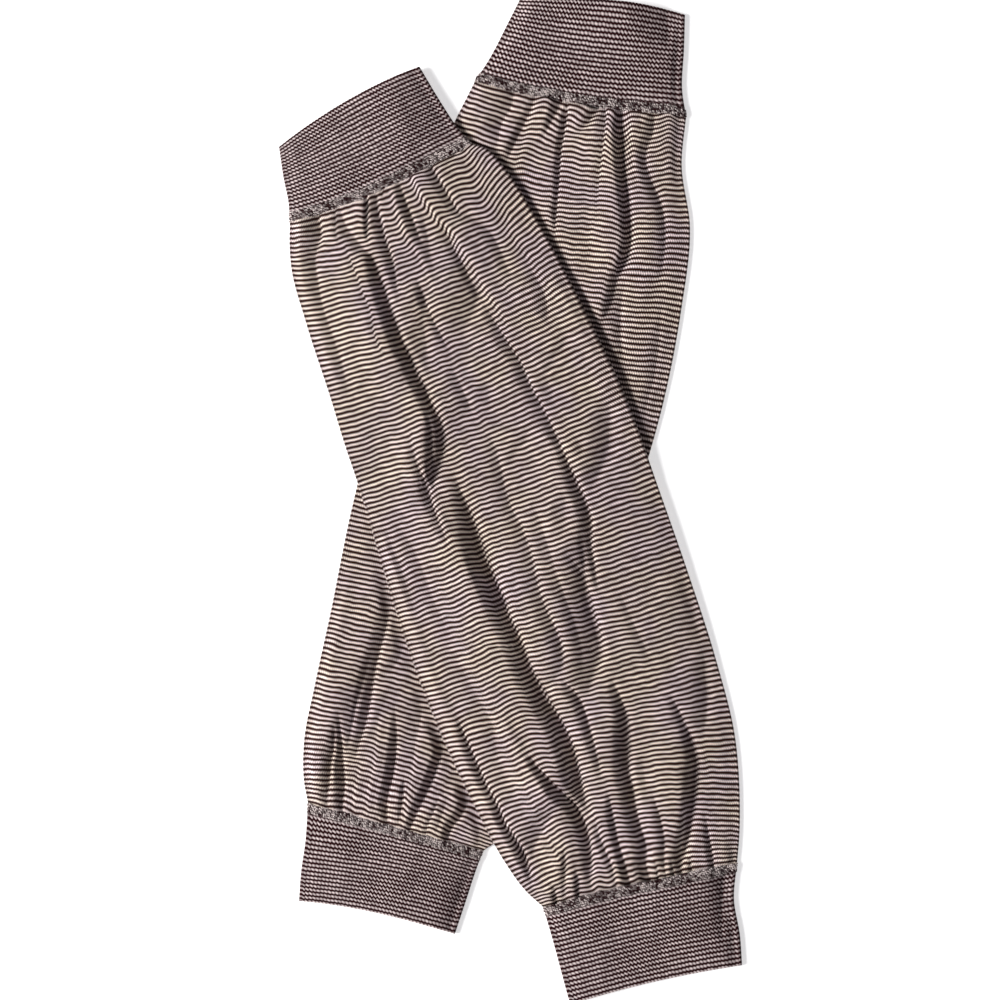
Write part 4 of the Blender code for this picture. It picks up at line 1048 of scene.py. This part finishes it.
def stitchTree(material):
    # stitches set along curves, leaning, with a shade of their own
    tree = bpy.data.node_groups.new("linkedSeam", "GeometryNodeTree")
    tree.interface.new_socket("Geometry", in_out="INPUT", socket_type="NodeSocketGeometry")
    for name in ("pitch", "long", "thick", "lean", "leanSpread", "scatter"):
        tree.interface.new_socket(name, in_out="INPUT", socket_type="NodeSocketFloat")
    tree.interface.new_socket("seed", in_out="INPUT", socket_type="NodeSocketInt")
    tree.interface.new_socket("Geometry", in_out="OUTPUT", socket_type="NodeSocketGeometry")
    given = addNode(tree, "NodeGroupInput").outputs
    curve = addNode(tree, "GeometryNodeMeshToCurve", given["Geometry"])
    spaced = addNode(tree, "GeometryNodeResampleCurve", {"Curve": curve, "Length": given["pitch"]},
                     mode="LENGTH")
    # each stitch's turn: along the row, facing outwards, then leaning by chance
    tangent = addNode(tree, "GeometryNodeInputTangent")
    outward = addNode(tree, "GeometryNodeInputNamedAttribute", {"Name": "outward"}, data_type="FLOAT_VECTOR")
    alongTurn = addNode(tree, "FunctionNodeAlignRotationToVector", {"Vector": tangent}, axis="X")
    setTurn = addNode(tree, "FunctionNodeAlignRotationToVector", {"Rotation": alongTurn, "Vector": outward},
                      axis="Z", pivot_axis="X")
    least = addNode(tree, "ShaderNodeMath", given["lean"], given["leanSpread"], operation="SUBTRACT")
    most = addNode(tree, "ShaderNodeMath", given["lean"], given["leanSpread"], operation="ADD")
    leaning = addNode(tree, "FunctionNodeRandomValue", {2: least, 3: most, "Seed": given["seed"]},
                      data_type="FLOAT")
    leanTurn = addNode(tree, "FunctionNodeAxisAngleToRotation",
                       {"Axis": (0, 0, 1), "Angle": leaning.outputs[1]})
    turned = addNode(tree, "FunctionNodeRotateRotation", setTurn, leanTurn, rotation_space="LOCAL")
    bead = addNode(tree, "GeometryNodeMeshUVSphere", {"Segments": 6, "Rings": 4, "Radius": 0.5})
    smooth = addNode(tree, "GeometryNodeSetShadeSmooth", bead)
    size = addNode(tree, "ShaderNodeCombineXYZ", given["long"], given["thick"], given["thick"])
    less = addNode(tree, "ShaderNodeMath", given["scatter"], -1.0, operation="MULTIPLY")
    moves = [addNode(tree, "FunctionNodeRandomValue", {2: less, 3: given["scatter"], "Seed": seed},
                     data_type="FLOAT").outputs[1] for seed in seamLook["moveSeeds"]]
    move = addNode(tree, "ShaderNodeCombineXYZ", *moves)
    moved = addNode(tree, "GeometryNodeSetPosition", {"Geometry": spaced, "Offset": move})
    points = addNode(tree, "GeometryNodeInstanceOnPoints", {
        "Points": moved, "Instance": smooth, "Rotation": turned, "Scale": size})
    # most stitches are light, with some dark ones among them
    darkest, lightest = seamLook["shades"]
    chance = addNode(tree, "FunctionNodeRandomValue",
                     {2: darkest, 3: lightest, "Seed": seamLook["shadeSeed"]}, data_type="FLOAT")
    shaded = addNode(tree, "GeometryNodeStoreNamedAttribute", {
        "Geometry": points, "Name": "yarnShade", "Value": chance.outputs[1]},
        data_type="FLOAT", domain="INSTANCE")
    real = addNode(tree, "GeometryNodeRealizeInstances", shaded)
    finished = addNode(tree, "GeometryNodeSetMaterial", {0: real, "Material": material})
    addNode(tree, "NodeGroupOutput", finished)
    return tree


def seamPiece(name, rings, flatWay, isUpper, build, tree):
    # rows of stitches round a tube, on its outer skin near the seam
    fromSeam = (flatWay[-1] - flatWay) if isUpper else flatWay
    order = slice(None, None, -1) if isUpper else slice(None)
    sides, top = build["sidePoints"], build["columns"]
    leftFold, rightFold = slice(0, sides), slice(sides + top, 2 * sides + top)
    outward = np.zeros(rings.shape)
    outward[:, leftFold] = rings[:, leftFold] - rings[:, sides:sides + 1]
    outward[:, rightFold] = rings[:, rightFold] - rings[:, sides + top - 1:sides + top]
    outward[..., 2] = 0
    outward[:, sides:sides + top, 2] = 1
    outward[:, 2 * sides + top:, 2] = -1
    spots, ways, edges = [], [], []
    for far in seamLook["rowsAt"]:
        first = len(spots)
        for k in range(0, rings.shape[1], 2):
            near = fromSeam[order, k]
            spots.append([np.interp(far, near, rings[order, k, axis]) for axis in range(3)])
            ways.append(outward[-1 if isUpper else 0, k])
        count = len(spots) - first
        edges += [(first + k, first + (k + 1) % count) for k in range(count)]
    spots, ways = np.array(spots), np.array(ways)
    ways /= np.maximum(np.linalg.norm(ways, axis=1, keepdims=True), 1e-9)
    spots += ways * seamLook["standOff"]
    spots[:, 2] = np.maximum(spots[:, 2], seamLook["lowest"])
    mesh = bpy.data.meshes.new(name)
    mesh.from_pydata(spots * mm, edges, [])
    mesh.attributes.new("outward", "FLOAT_VECTOR", "POINT").data.foreach_set("vector", ways.ravel())
    path = newObject(name + "Path", mesh)
    modifier = path.modifiers.new("stitches", "NODES")
    modifier.node_group = tree
    values = {key: seamLook[key] * mm for key in ("pitch", "long", "thick", "scatter")}
    values.update({key: math.radians(seamLook[key]) for key in ("lean", "leanSpread")})
    values["seed"] = seamLook["seed"]
    for item in tree.interface.items_tree:
        if item.item_type == "SOCKET" and item.in_out == "INPUT" and item.name in values:
            modifier[item.identifier] = values[item.name]
    evaluated = path.evaluated_get(bpy.context.evaluated_depsgraph_get())
    stitched = bpy.data.meshes.new_from_object(evaluated)
    stitched.name = name
    bpy.data.objects.remove(path)
    return newObject(name, stitched)


# ---- the pieces ----

jersey, rib, thread = stripedJersey(), ribbedKnit(), linkingThread()
seamTree = stitchTree(thread)
pieces, seams = {}, {}
for side, sleeve in sleeves.items():
    for part, nodeEnd in (("body", "body"), ("upperCuff", "upper_cuff"), ("lowerCuff", "lower_cuff")):
        isBody, isUpper = part == "body", part == "upperCuff"
        shortName = part[0].upper() + part[1:]
        node = side + "_sleeve_" + nodeEnd
        pieces[node], rings, flatWay = tubeMesh(
            side + ("StripedBody" if isBody else "Ribbed" + shortName), sleeve, part,
            bodyBuild if isBody else cuffBuild, jersey if isBody else rib)
        print("made", pieces[node].name, len(pieces[node].data.polygons), "faces")
        if not isBody:
            seams[node] = seamPiece(side + shortName.replace("Cuff", "Seam"), rings, flatWay, isUpper,
                                    cuffBuild, seamTree)
            print("made", seams[node].name, len(seams[node].data.polygons), "faces")

for node, piece in pieces.items():
    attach(piece, "root")
    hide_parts(node)
for seam in seams.values():
    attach(seam, "root")

# ---- floor, light and camera ----

studio = {
    "floorHalf": 3.0,     # metres
    "floorDrop": 0.0004,  # under the sleeves, so that the two never share a plane
    "paper": "f7f7f7",
    "paperGlow": 0.55,
    "keyTurn": 183.0,     # degrees round from +X that the light comes from
    "keyRise": 35.0,
    "keyFar": 6.0,
    "keySize": 2.4,
    "keyPower": 540.0,
    "keyTint": "ffffff",
    "fill": 0.17,
    "fillTint": "f1eef6",
}

half, low = studio["floorHalf"], -studio["floorDrop"]
floorMesh = bpy.data.meshes.new("studioFloor")
floorMesh.from_pydata([(-half, -half, low), (half, -half, low), (half, half, low), (-half, half, low)],
                      [], [(0, 1, 2, 3)])
floor = newObject("studioFloor", floorMesh)
floorPaper, floorTree = newMaterial("whitePaper")
floorSkin = addNode(floorTree, "ShaderNodeBsdfPrincipled", {
    "Base Color": colour(studio["paper"]), "Roughness": 0.9,
    "Emission Color": colour("ffffff"), "Emission Strength": studio["paperGlow"]})
addNode(floorTree, "ShaderNodeOutputMaterial", floorSkin)
floorMesh.materials.append(floorPaper)

keyData = bpy.data.lights.new("windowKey", "AREA")
keyData.shape = "SQUARE"
keyData.size = studio["keySize"]
keyData.energy = studio["keyPower"]
keyData.color = colour(studio["keyTint"])[:3]
key = newObject("windowKey", keyData)
turn, rise = math.radians(studio["keyTurn"]), math.radians(studio["keyRise"])
key.location = (studio["keyFar"] * math.cos(rise) * math.cos(turn),
                studio["keyFar"] * math.cos(rise) * math.sin(turn), studio["keyFar"] * math.sin(rise))
key.rotation_euler = key.location.to_track_quat("Z", "Y").to_euler()

world = bpy.data.worlds.new("softRoom")
world.use_nodes = True
world.node_tree.nodes["Background"].inputs[0].default_value = colour(studio["fillTint"])
world.node_tree.nodes["Background"].inputs[1].default_value = studio["fill"]
bpy.context.scene.world = world

view = {"x": -5.46, "y": 0.26, "wide": 520.0, "lens": 200.0, "sensor": 36.0, "clipEnd": 20.0}
cameraData = bpy.data.cameras.new("overheadCamera")
cameraData.lens = view["lens"]
cameraData.sensor_width = view["sensor"]
cameraData.clip_end = view["clipEnd"]
camera = newObject("overheadCamera", cameraData)
camera.location = (view["x"] * mm, view["y"] * mm, view["wide"] * mm * view["lens"] / view["sensor"])
bpy.context.scene.camera = camera
bpy.context.scene.view_settings.view_transform = "Standard"
print("studio set")
